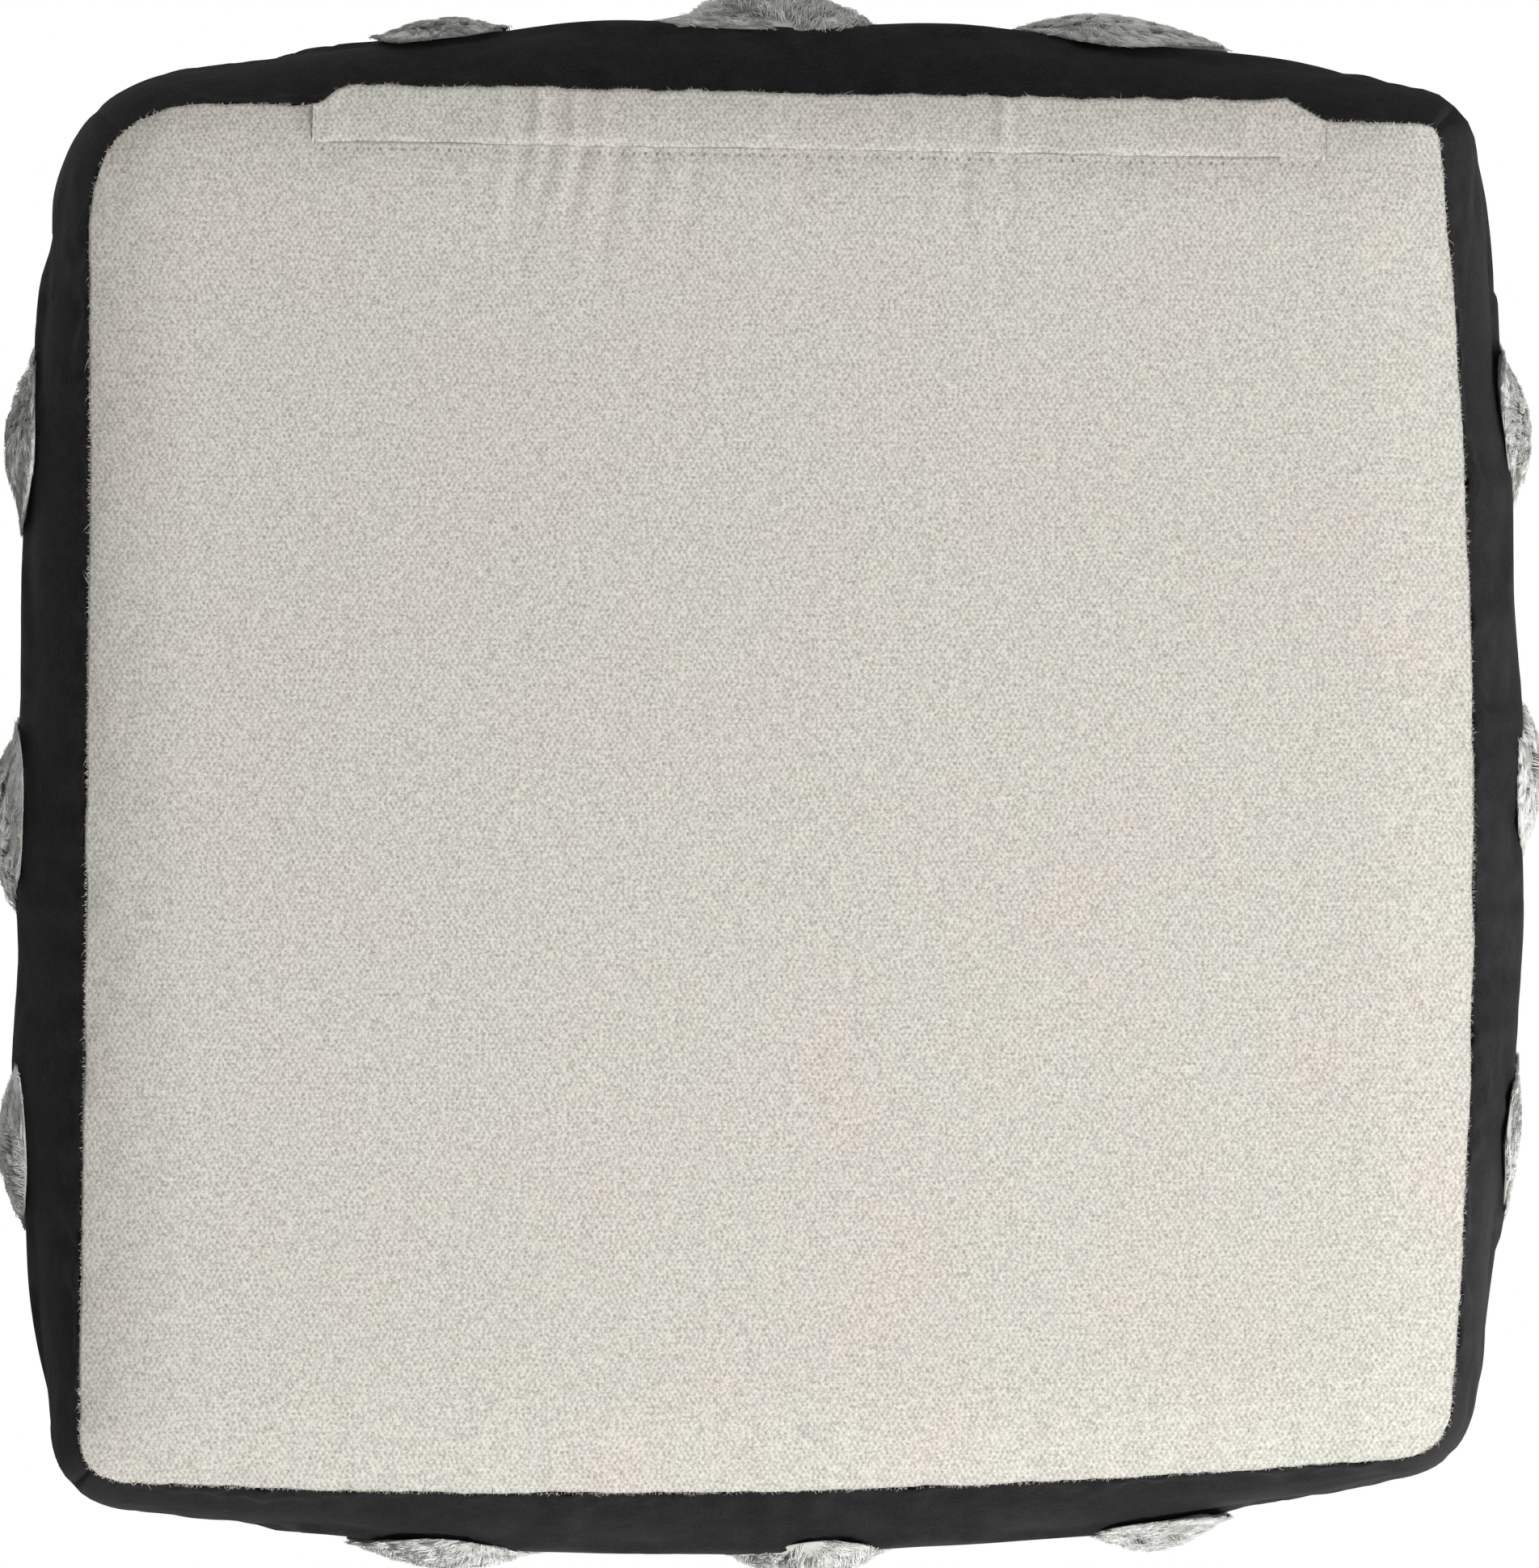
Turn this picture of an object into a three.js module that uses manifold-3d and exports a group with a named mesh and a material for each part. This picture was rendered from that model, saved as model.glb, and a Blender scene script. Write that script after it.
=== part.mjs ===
// Square box floor cushion: canvas base panel with a lapped zip placket, wool box sides and seat panel,
// pile tufts, and a separate inner cushion.
// Millimetres, +Z up. The cushion lies as it is used, base panel down on z = 0 and seat side up.
// The origin is under the middle of the cushion. The zip runs along the back (+Y) edge of the base panel.
import * as THREE from 'three';
import { mergeVertices } from 'three/addons/utils/BufferGeometryUtils.js';
import Module from 'manifold-3d';

const wasm = await Module();
wasm.setup();

// ---- driving dimensions -------------------------------------------------------------------------------

// The seam line round the base panel. Corners run anticlockwise seen from above, starting back right.
// bulge is how far the box sides stand out past the seam at half height.
const CORNERS = [
  { x: 274, y: 274, radius: 49, bulge: 21 },
  { x: -270, y: 266, radius: 8, bulge: 20 },
  { x: -274, y: -270, radius: 20, bulge: 14 },
  { x: 279, y: -281, radius: 20, bulge: 17 },
];
// One entry for the side that follows each corner. bow is how far the seam bends outwards at mid-side.
const SIDES = [
  { name: 'back', bow: 3, bulge: 38 },
  { name: 'left', bow: 12, bulge: 23 },
  { name: 'front', bow: 10, bulge: 28 },
  { name: 'right', bow: -1, bulge: 32 },
];
const SIDE_FULLNESS = 2.7; // how squarely the bulge holds along a side, between its corners
const HEIGHT_FULLNESS = 2.4; // the same over the height of the box side
const HALF_SIZE = 276; // middle of the cushion to a side, seam to seam

const BASE_SEAM_Z = 10;
const BASE_ROLL = 45; // width of the band where the base panel turns up towards its seam
const BASE_INSETS = [0, 6, 12, 18, 24, 31, 38, BASE_ROLL];
const TOP_SEAM_Z = 145;
const CROWN = 24; // rise of the seat panel over its seam
const CROWN_FULLNESS = 2.6;
const CANVAS = 1;
const WOOL = 2;
const SEAM_GAP = 0.4; // clearance between pieces that meet at a seam

const TUFT_GAP = 1;
const TUFT_RIM = 1.5; // pile height at the rim of a tuft
const TUFT_SHOULDER = { radius: 0.6, height: 0.8 }; // where a mound levels off, as shares of its own
const SIDE_TUFT_HALF_HEIGHT = 32;
const TOP_TUFT = { halfWidth: 38, height: 12 };
const TOP_TUFT_X = [136, 0, -142];
const TOP_TUFT_Y = [142, -6, -146];
// Along each side: distance of the tuft from the side's first corner, its half width and its pile height.
const SIDE_TUFTS = {
  back: [
    { at: 138, halfWidth: 27, height: 5 },
    { at: 275, halfWidth: 44, height: 13.2 },
    { at: 416, halfWidth: 41, height: 8 },
  ],
  left: [
    { at: 120, halfWidth: 31, height: 9 },
    { at: 265, halfWidth: 32, height: 9 },
    { at: 410, halfWidth: 31, height: 3 },
  ],
  front: [
    { at: 115, halfWidth: 31, height: 9 },
    { at: 258, halfWidth: 35, height: 11 },
    { at: 408, halfWidth: 40, height: 8 },
  ],
  right: [
    { at: 132, halfWidth: 35, height: 8 },
    { at: 269, halfWidth: 38, height: 11.4 },
    { at: 423, halfWidth: 36, height: 9 },
  ],
};

// Placket frame: origin in the middle of the topstitched line, x along the zip, y out to the seam.
const PLACKET = { x: -19.8, y: 253.8, turn: THREE.MathUtils.degToRad(1) };
const FLAP_HALF_LENGTH = 204;
const FLAP_END_LENGTH = 50;
const NOTCH_DEPTH = 60; // how far the base panel's cut-out reaches past its edge
const FLAP_OUTER = [[0.5, 3.4], [10, 5.0], [19, 7.3], [25, 10.5]];
const FLAP_INNER = [[25, 12.5], [19, 9.4], [10, 7.2], [0.5, 5.4]];
const TAPE_HALF_LENGTH = 200;
const PANEL_TAPE = [
  [-6, 4.4], [0.6, 5.7], [4.6, 12.7], [6.9, 12.7], [6.9, 13.3], [4.2, 13.3], [0.1, 6.4], [-6, 5.1],
];
const GUSSET_TAPE = [[12.1, 12.7], [14.6, 12.7], [14.6, 19], [14, 19], [14, 13.3], [12.1, 13.3]];

const CHAIN = { y: 9.5, z: 13, halfLength: 166, rowOffset: 1.52, rowHalfWidth: 0.87, rowHalfHeight: 1.2 };
const STOP = { length: 4, width: 5.4, height: 3.2 };
const SLIDER = { x: 160, length: 11, width: 7.8, height: 4.6, plate: 0.8, flange: 0.7, tapeSlot: 1.4 };
const POST = { length: 3, width: 0.6 };
const PIN = { z: 9.2, radius: 0.45, halfLength: 2.6 };
const EAR = { width: 0.5, halfLength: 1, drop: 0.6 };
const TAB = { length: 26, width: 6, thickness: 0.9, neckWidth: 3.4, neckLength: 1.8, barrel: 1.2, bore: 0.8 };
const TAB_SLOT = { width: 2.4, length: 9, end: 4 };
const TOPSTITCH = { y: -1.2, z: 2.5, width: 0.7, height: 0.4 };

const INSERT_INSET = 8; // seam of the inner casing inside the seam of the cover
const INSERT_CASING = 0.8;
const INSERT_BULGE = 4; // how much more than the cover the inner casing bulges from its own seam
const INSERT_BOTTOM = { z: 1.8, seamZ: 28, roll: 60 };
const INSERT_TOP = { z: 162, seamZ: 126, roll: 170 };
const INSERT_ROUNDNESS = 2.5; // how sharply its panels turn up to their seams
const INSERT_BOTTOM_INSETS = [0, 15, 30, 60];
const INSERT_TOP_INSETS = [0, 30, 80, 170];
const FILLING_GAP = 4;
const FILLING = { bottomInsets: [60, 40, 20, 8], lift: 14, drop: 10, topInsets: [8, 30, 80, 170] };

// ---- materials ----------------------------------------------------------------------------------------

const material = (color, roughness, metalness = 0) =>
  new THREE.MeshStandardMaterial({ color, roughness, metalness });
const canvas = material(0xc9c6bb, 0.9);
const wool = material(0x1f1f20, 0.95);
const pile = material(0xa5a49e, 1);
const casing = material(0xe8e6e0, 0.9);
const stuffing = material(0xf2f1ee, 1);
const zipTape = material(0xb9b4a6, 0.85);
const zipCoil = material(0xa8a396, 0.45);
const zipMetal = material(0x8d8b86, 0.35, 0.9);
const thread = material(0xa9a598, 0.8);

// ---- seam line ----------------------------------------------------------------------------------------

function sideCurve(index) {
  const from = CORNERS[index];
  const to = CORNERS[(index + 1) % CORNERS.length];
  const start = new THREE.Vector2(from.x, from.y);
  const along = new THREE.Vector2(to.x, to.y).sub(start);
  const length = along.length();
  along.divideScalar(length);
  return { from, to, start, along, length, out: new THREE.Vector2(along.y, -along.x), ...SIDES[index] };
}

// A point on a side, with its outward normal and the bulge of the box side there.
function sidePoint(side, distance) {
  const share = distance / side.length;
  const slope = (4 * side.bow * (1 - 2 * share)) / side.length;
  const point = side.start.clone().addScaledVector(side.along, distance);
  point.addScaledVector(side.out, 4 * side.bow * share * (1 - share));
  const normal = side.out.clone().addScaledVector(side.along, -slope).normalize();
  const span = side.length - side.from.radius - side.to.radius;
  const across = (distance - side.from.radius) / span;
  const cornerBulge = THREE.MathUtils.lerp(side.from.bulge, side.to.bulge, across);
  const held = 1 - Math.abs(2 * across - 1) ** SIDE_FULLNESS;
  return { point, normal, bulge: THREE.MathUtils.lerp(cornerBulge, side.bulge, held) };
}

// Where the tangents at the two ends of a corner meet.
function tangentMeeting(a, b) {
  const alongA = new THREE.Vector2(-a.normal.y, a.normal.x);
  const distance = b.point.clone().sub(a.point).dot(b.normal) / alongA.dot(b.normal);
  return a.point.clone().addScaledVector(alongA, distance);
}

function cornerPoints(before, after, steps) {
  const a = sidePoint(before, before.length - before.to.radius);
  const b = sidePoint(after, after.from.radius);
  const arc = new THREE.QuadraticBezierCurve(a.point, tangentMeeting(a, b), b.point);
  return Array.from({ length: steps }, (_, i) => {
    const tangent = arc.getTangent(i / steps);
    const normal = new THREE.Vector2(tangent.y, -tangent.x);
    return { point: arc.getPoint(i / steps), normal, bulge: after.from.bulge };
  });
}

// The whole seam line, starting halfway round the back right corner.
function seamLine(sideSteps, cornerSteps) {
  const line = [];
  SIDES.forEach((_, index) => {
    const side = sideCurve(index);
    const before = sideCurve((index + SIDES.length - 1) % SIDES.length);
    line.push(...cornerPoints(before, side, cornerSteps));
    const span = side.length - side.from.radius - side.to.radius;
    for (let i = 0; i < sideSteps; i++) {
      line.push(sidePoint(side, side.from.radius + (span * i) / sideSteps));
    }
  });
  const half = cornerSteps / 2;
  return [...line.slice(half), ...line.slice(0, half)];
}

const heightShare = (z) => (z - BASE_SEAM_Z) / (TOP_SEAM_Z - BASE_SEAM_Z);
const bulgeShare = (share) => 1 - Math.abs(2 * share - 1) ** HEIGHT_FULLNESS;

function offsetPoint(sample, offset, z) {
  const { point, normal } = sample;
  return new THREE.Vector3(point.x + normal.x * offset, point.y + normal.y * offset, z);
}

// Outer surface of the box side over a seam sample, moved outwards by extra.
const boxSidePoint = (sample, z, extra = 0) =>
  offsetPoint(sample, sample.bulge * bulgeShare(heightShare(z)) + extra, z);

// ---- closed meshes ------------------------------------------------------------------------------------

function closedGeometry(points, triangles) {
  const geometry = new THREE.BufferGeometry();
  geometry.setAttribute('position', new THREE.Float32BufferAttribute(points.flatMap((p) => p.toArray()), 3));
  geometry.setIndex(triangles.flat());
  return geometry;
}

// Walls between rings of equal length, closed by a fan to a tip at each end.
function ringSolid(rings, tips) {
  const count = rings[0].length;
  const points = [...rings.flat(), ...tips];
  const [first, last] = [points.length - 2, points.length - 1];
  const end = (rings.length - 1) * count;
  const triangles = [];
  for (let i = 0; i < count; i++) {
    const j = (i + 1) % count;
    for (let low = 0; low < end; low += count) {
      const high = low + count;
      triangles.push([low + i, low + j, high + j], [low + i, high + j, high + i]);
    }
    triangles.push([first, j, i], [last, end + i, end + j]);
  }
  return closedGeometry(points, triangles);
}

// The places round the rim of a grid, in order.
function gridRim(rows, columns) {
  const upTo = (count) => Array.from({ length: count - 1 }, (_, i) => i);
  const [lastRow, lastColumn] = [rows - 1, columns - 1];
  return [
    ...upTo(columns).map((c) => [0, c]),
    ...upTo(rows).map((r) => [r, lastColumn]),
    ...upTo(columns).map((c) => [lastRow, lastColumn - c]),
    ...upTo(rows).map((r) => [lastRow - r, 0]),
  ];
}

// A curved sheet with thickness: two grids of the same size, joined round their edges.
function sheetSolid(outer, inner) {
  const rows = outer.length;
  const columns = outer[0].length;
  const points = [...outer.flat(), ...inner.flat()];
  const at = (layer, r, c) => layer * rows * columns + r * columns + c;
  const triangles = [];
  for (let r = 0; r < rows - 1; r++) {
    for (let c = 0; c < columns - 1; c++) {
      const corners = [[r, c], [r, c + 1], [r + 1, c + 1], [r + 1, c]];
      const [a, b, d, e] = corners.map(([row, column]) => at(0, row, column));
      const [f, g, h, i] = corners.map(([row, column]) => at(1, row, column));
      triangles.push([a, b, d], [a, d, e], [f, h, g], [f, i, h]);
    }
  }
  const rim = gridRim(rows, columns);
  rim.forEach(([r, c], i) => {
    const [nr, nc] = rim[(i + 1) % rim.length];
    triangles.push([at(0, r, c), at(1, r, c), at(1, nr, nc)], [at(0, r, c), at(1, nr, nc), at(0, nr, nc)]);
  });
  return closedGeometry(points, triangles);
}

function toManifold(geometry) {
  const bare = geometry.clone();
  bare.deleteAttribute('normal');
  bare.deleteAttribute('uv');
  const merged = mergeVertices(bare, 1e-4);
  const vertProperties = new Float32Array(merged.attributes.position.array);
  const triVerts = new Uint32Array(merged.index.array);
  return new wasm.Manifold(new wasm.Mesh({ numProp: 3, vertProperties, triVerts }));
}

function fromManifold(solid) {
  const mesh = solid.getMesh();
  const geometry = new THREE.BufferGeometry();
  geometry.setAttribute('position', new THREE.BufferAttribute(mesh.vertProperties, 3));
  geometry.setIndex(new THREE.BufferAttribute(mesh.triVerts, 1));
  return geometry;
}

const joined = (...geometries) => fromManifold(geometries.map(toManifold).reduce((a, b) => a.add(b)));

function boxAt(length, width, height, x, y, z) {
  return new THREE.BoxGeometry(length, width, height).translate(x, y, z);
}

// A section in the (y, z) plane, drawn from x = from to x = to.
function extrudeAlongX(section, from, to) {
  const isShape = section instanceof THREE.Shape;
  const shape = isShape ? section : new THREE.Shape(section.map(([y, z]) => new THREE.Vector2(y, z)));
  const settings = { depth: to - from, bevelEnabled: false, curveSegments: 8 };
  const geometry = new THREE.ExtrudeGeometry(shape, settings);
  const basis = new THREE.Matrix4().makeBasis(
    new THREE.Vector3(0, 1, 0),
    new THREE.Vector3(0, 0, 1),
    new THREE.Vector3(1, 0, 0),
  );
  return geometry.applyMatrix4(basis).translate(from, 0, 0);
}

// ---- cover --------------------------------------------------------------------------------------------

const coverSeam = seamLine(8, 4);

// A copy of the seam line shrunk towards the middle until it lies inset from the seam.
function shrunkRing(seam, inset, z, edgeInset = 0) {
  const scale = 1 - inset / HALF_SIZE;
  const shrink = new THREE.Vector3(scale, scale, 1);
  return seam.map((sample) => offsetPoint(sample, -edgeInset, z).multiply(shrink));
}

const basePanelZ = (inset) => BASE_SEAM_Z * Math.max(0, 1 - inset / BASE_ROLL) ** 2;
const seatZ = (inset) => TOP_SEAM_Z + CROWN * (1 - (1 - inset / HALF_SIZE) ** CROWN_FULLNESS);

// A sheet across the cushion, between a lower and an upper height at each inset, the smallest inset first.
function panelSolid(seam, edgeInset, insets, lowerZ, upperZ) {
  const lower = insets.map((inset) => shrunkRing(seam, inset, lowerZ(inset), edgeInset));
  const upper = insets.map((inset) => shrunkRing(seam, inset, upperZ(inset), edgeInset));
  const tips = [lowerZ, upperZ].map((heightAt) => new THREE.Vector3(0, 0, heightAt(HALF_SIZE)));
  return ringSolid([...lower.reverse(), ...upper], tips);
}

function placketFrame() {
  const frame = new THREE.Group();
  frame.position.set(PLACKET.x, PLACKET.y, 0);
  frame.rotation.z = PLACKET.turn;
  frame.updateMatrix();
  return frame;
}

function basePanel() {
  const innerZ = (inset) => basePanelZ(inset) + CANVAS;
  const panel = panelSolid(coverSeam, SEAM_GAP / 2, BASE_INSETS, basePanelZ, innerZ);
  const notchLength = 2 * (FLAP_HALF_LENGTH + SEAM_GAP);
  const notch = boxAt(notchLength, NOTCH_DEPTH, NOTCH_DEPTH, 0, NOTCH_DEPTH / 2, 0);
  notch.applyMatrix4(placketFrame().matrix);
  return fromManifold(toManifold(panel).subtract(toManifold(notch)));
}

function seatPanel() {
  const insets = [0, 8, 20, 45, 95, 170];
  return panelSolid(coverSeam, SEAM_GAP / 2, insets, (inset) => seatZ(inset) - WOOL, seatZ);
}

// A stretch of seam samples that is drawn in a little at both ends.
function stripSamples(seam, start, steps) {
  const samples = Array.from({ length: steps + 1 }, (_, i) => seam[(start + i) % seam.length]);
  const drawnIn = (end, next) => {
    const towards = next.point.clone().sub(end.point).normalize();
    return { ...end, point: end.point.clone().addScaledVector(towards, SEAM_GAP) };
  };
  samples[0] = drawnIn(samples[0], samples[1]);
  samples[steps] = drawnIn(samples[steps], samples[steps - 1]);
  return samples;
}

function gussetStrip(index) {
  const perSide = coverSeam.length / SIDES.length;
  const samples = stripSamples(coverSeam, index * perSide, perSide);
  const low = BASE_SEAM_Z + CANVAS + SEAM_GAP;
  const high = TOP_SEAM_Z - WOOL - SEAM_GAP;
  const rows = 10;
  const grid = (extra) =>
    Array.from({ length: rows + 1 }, (_, r) => {
      const z = low + ((high - low) * (1 - Math.cos((Math.PI * r) / rows))) / 2;
      return samples.map((sample) => boxSidePoint(sample, z, extra));
    });
  return sheetSolid(grid(SEAM_GAP / 2), grid(SEAM_GAP / 2 - WOOL));
}

// ---- tufts --------------------------------------------------------------------------------------------

// A low mound over a curved surface. surfaceAt(u, v, lift) gives the surface point at u, v in -1..1, lifted.
function tuftSolid(surfaceAt, height) {
  const segments = 12;
  const ring = (radius, lift) =>
    Array.from({ length: segments }, (_, i) => {
      const angle = (2 * Math.PI * i) / segments;
      return surfaceAt(radius * Math.cos(angle), radius * Math.sin(angle), lift);
    });
  const rim = TUFT_GAP + Math.min(TUFT_RIM, height / 3);
  const shoulder = THREE.MathUtils.lerp(rim, height, TUFT_SHOULDER.height);
  const { radius } = TUFT_SHOULDER;
  const rings = [ring(radius, TUFT_GAP), ring(1, TUFT_GAP), ring(1, rim), ring(radius, shoulder)];
  return ringSolid(rings, [surfaceAt(0, 0, TUFT_GAP), surfaceAt(0, 0, height)]);
}

function sideTuft(index, { at, halfWidth, height }) {
  const side = sideCurve(index);
  const middle = (BASE_SEAM_Z + TOP_SEAM_Z) / 2;
  const surfaceAt = (u, v, lift) =>
    boxSidePoint(sidePoint(side, at + u * halfWidth), middle + v * SIDE_TUFT_HALF_HEIGHT, lift);
  return tuftSolid(surfaceAt, height);
}

// How far a point of the seat is from the seam, counted towards the middle of the cushion.
function insetAt(x, y) {
  const reach = Math.hypot(x, y);
  if (reach === 0) return HALF_SIZE;
  for (let i = 0; i < coverSeam.length; i++) {
    const a = coverSeam[i].point;
    const b = coverSeam[(i + 1) % coverSeam.length].point;
    const turn = a.x * b.y - a.y * b.x;
    const alongB = (a.x * y - a.y * x) / turn;
    const alongA = (x * b.y - y * b.x) / turn;
    if (alongA >= 0 && alongB >= 0) return HALF_SIZE * (1 - alongA - alongB);
  }
  return 0;
}

function topTuft(x, y) {
  const { halfWidth, height } = TOP_TUFT;
  return tuftSolid((u, v, lift) => {
    const px = x + u * halfWidth;
    const py = y + v * halfWidth;
    return new THREE.Vector3(px, py, seatZ(insetAt(px, py)) + lift);
  }, height);
}

// ---- zip placket, in the placket frame ----------------------------------------------------------------

function flapSection(from, to) {
  return extrudeAlongX([...FLAP_OUTER, ...FLAP_INNER], from, to);
}

function coilRow(direction) {
  const length = 2 * CHAIN.halfLength;
  const row = new THREE.CylinderGeometry(1, 1, length, 8).rotateZ(Math.PI / 2);
  row.scale(1, CHAIN.rowHalfWidth, CHAIN.rowHalfHeight);
  return row.translate(0, CHAIN.y + direction * CHAIN.rowOffset, CHAIN.z);
}

function zipStop(direction) {
  const x = direction * (CHAIN.halfLength + SEAM_GAP + STOP.length / 2);
  const slot = boxAt(2 * STOP.length, 2 * STOP.width, SLIDER.tapeSlot, x, CHAIN.y, CHAIN.z);
  const bridge = boxAt(STOP.length, STOP.width / 3, STOP.height, x, CHAIN.y, CHAIN.z);
  const block = boxAt(STOP.length, STOP.width, STOP.height, x, CHAIN.y, CHAIN.z);
  return fromManifold(toManifold(block).subtract(toManifold(slot)).add(toManifold(bridge)));
}

function zipSlider() {
  const { x, length, width, height, plate, flange, tapeSlot } = SLIDER;
  const at = (l, w, h, dx, dy, dz) => boxAt(l, w, h, x + dx, CHAIN.y + dy, CHAIN.z + dz);
  const pieces = [at(POST.length, POST.width, height, (length - POST.length) / 2, 0, 0)];
  for (const up of [-1, 1]) {
    pieces.push(at(length, width, plate, 0, 0, (up * (height - plate)) / 2));
    const flangeHeight = (height - tapeSlot) / 2;
    for (const out of [-1, 1]) {
      const dz = (up * (tapeSlot + flangeHeight)) / 2;
      pieces.push(at(length, flange, flangeHeight, 0, (out * (width - flange)) / 2, dz));
    }
  }
  const under = CHAIN.z - height / 2 - PIN.z;
  for (const out of [-1, 1]) {
    const tall = under + EAR.drop + plate / 2;
    const dz = PIN.z - EAR.drop + tall / 2 - CHAIN.z;
    pieces.push(at(2 * EAR.halfLength, EAR.width, tall, 0, out * (PIN.halfLength - EAR.width / 2), dz));
  }
  const pin = new THREE.CylinderGeometry(PIN.radius, PIN.radius, 2 * PIN.halfLength - EAR.width, 10);
  pieces.push(pin.translate(x, CHAIN.y, PIN.z));
  return joined(...pieces);
}

function tabOutline() {
  const { length, width, neckWidth, neckLength } = TAB;
  const end = width / 2;
  const outline = new THREE.Shape();
  outline.moveTo(0, -neckWidth / 2);
  outline.lineTo(neckLength, -neckWidth / 2);
  outline.lineTo(neckLength + 1, -width / 2);
  outline.lineTo(length - end, -width / 2);
  outline.absarc(length - end, 0, end, -Math.PI / 2, Math.PI / 2);
  outline.lineTo(neckLength + 1, width / 2);
  outline.lineTo(neckLength, neckWidth / 2);
  outline.lineTo(0, neckWidth / 2);
  const far = length - TAB_SLOT.end;
  const half = TAB_SLOT.width / 2;
  const slot = new THREE.Path();
  slot.absarc(far - half, 0, half, -Math.PI / 2, Math.PI / 2);
  slot.absarc(far - TAB_SLOT.length + half, 0, half, Math.PI / 2, (3 * Math.PI) / 2);
  outline.holes.push(slot);
  return outline;
}

function pullTab() {
  const { thickness, neckWidth, barrel, bore } = TAB;
  const settings = { depth: thickness, bevelEnabled: false, curveSegments: 6 };
  const blade = new THREE.ExtrudeGeometry(tabOutline(), settings);
  blade.translate(0, 0, -thickness / 2).rotateZ(Math.PI);
  const round = new THREE.CylinderGeometry(barrel, barrel, neckWidth, 12);
  const hole = new THREE.CylinderGeometry(bore, bore, 3 * neckWidth, 12);
  const tab = toManifold(blade).add(toManifold(round)).subtract(toManifold(hole));
  return fromManifold(tab).translate(SLIDER.x, CHAIN.y, PIN.z);
}

// ---- inner cushion ------------------------------------------------------------------------------------

const insertSeam = seamLine(4, 2);

// The height of an inner panel at an inset, rolling from its seam to its flat middle.
function rolledZ({ z, seamZ, roll }, inset) {
  return THREE.MathUtils.lerp(z, seamZ, Math.max(0, 1 - inset / roll) ** INSERT_ROUNDNESS);
}

const insertBottomZ = (inset) => rolledZ(INSERT_BOTTOM, inset);
const insertTopZ = (inset) => rolledZ(INSERT_TOP, inset);

// The inner cushion's side over some seam samples at a height, drawn in by depth.
function insertSideRow(samples, z, depth) {
  const share = (z - INSERT_BOTTOM.seamZ) / (INSERT_TOP.seamZ - INSERT_BOTTOM.seamZ);
  return samples.map((sample) => {
    const bulge = (sample.bulge + INSERT_BULGE) * bulgeShare(share);
    return offsetPoint(sample, bulge - INSERT_INSET - depth, z);
  });
}

function insertPanel(insets, lowerZ) {
  return panelSolid(insertSeam, INSERT_INSET, insets, lowerZ, (inset) => lowerZ(inset) + INSERT_CASING);
}

function sideHeights(low, high, rows) {
  return Array.from({ length: rows + 1 }, (_, r) => low + ((high - low) * r) / rows);
}

// One strip right round the inner cushion, with its seam at the back right corner.
function insertGusset() {
  const samples = stripSamples(insertSeam, 0, insertSeam.length);
  const low = INSERT_BOTTOM.seamZ + INSERT_CASING + SEAM_GAP;
  const high = INSERT_TOP.seamZ - INSERT_CASING - SEAM_GAP;
  const heights = sideHeights(low, high, 6);
  const grid = (depth) => heights.map((z) => insertSideRow(samples, z, depth));
  return sheetSolid(grid(0), grid(INSERT_CASING));
}

function filling() {
  const drawn = INSERT_CASING + FILLING_GAP;
  const inset = INSERT_INSET + drawn;
  const bottomZ = (d) => insertBottomZ(d) + drawn;
  const topZ = (d) => insertTopZ(d) - drawn;
  const bottom = FILLING.bottomInsets.map((d) => shrunkRing(insertSeam, d, bottomZ(d), inset));
  const heights = sideHeights(INSERT_BOTTOM.seamZ + FILLING.lift, INSERT_TOP.seamZ - FILLING.drop, 4);
  const sides = heights.map((z) => insertSideRow(insertSeam, z, drawn));
  const top = FILLING.topInsets.map((d) => shrunkRing(insertSeam, d, topZ(d), inset));
  const tips = [bottomZ, topZ].map((heightAt) => new THREE.Vector3(0, 0, heightAt(HALF_SIZE)));
  return ringSolid([...bottom, ...sides, ...top], tips);
}

// ---- assembly -----------------------------------------------------------------------------------------

const cushion = new THREE.Group();
const placket = placketFrame();
cushion.add(placket);

function add(parent, name, geometry, look) {
  const mesh = new THREE.Mesh(geometry, look);
  mesh.name = name;
  parent.add(mesh);
}

add(cushion, 'base_panel', basePanel(), canvas);
add(cushion, 'top_panel', seatPanel(), wool);
SIDES.forEach(({ name }, index) => {
  add(cushion, `gusset_${name}`, gussetStrip(index), wool);
  SIDE_TUFTS[name].forEach((tuft, i) => {
    add(cushion, `side_tuft_${name}_${i + 1}`, sideTuft(index, tuft), pile);
  });
});
TOP_TUFT_Y.forEach((y, row) => {
  TOP_TUFT_X.forEach((x, column) => {
    add(cushion, `top_tuft_${row + 1}_${column + 1}`, topTuft(x, y), pile);
  });
});

const flapMiddle = FLAP_HALF_LENGTH - FLAP_END_LENGTH;
add(placket, 'zip_flap', flapSection(-flapMiddle, flapMiddle), canvas);
add(placket, 'zip_flap_end_left', flapSection(-FLAP_HALF_LENGTH, -flapMiddle - SEAM_GAP), canvas);
add(placket, 'zip_flap_end_right', flapSection(flapMiddle + SEAM_GAP, FLAP_HALF_LENGTH), canvas);
add(placket, 'zip_tape_panel_side', extrudeAlongX(PANEL_TAPE, -TAPE_HALF_LENGTH, TAPE_HALF_LENGTH), zipTape);
add(placket, 'zip_tape_gusset_side', extrudeAlongX(GUSSET_TAPE, -TAPE_HALF_LENGTH, TAPE_HALF_LENGTH), zipTape);
add(placket, 'zip_coil_panel_side', coilRow(-1), zipCoil);
add(placket, 'zip_coil_gusset_side', coilRow(1), zipCoil);
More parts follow.
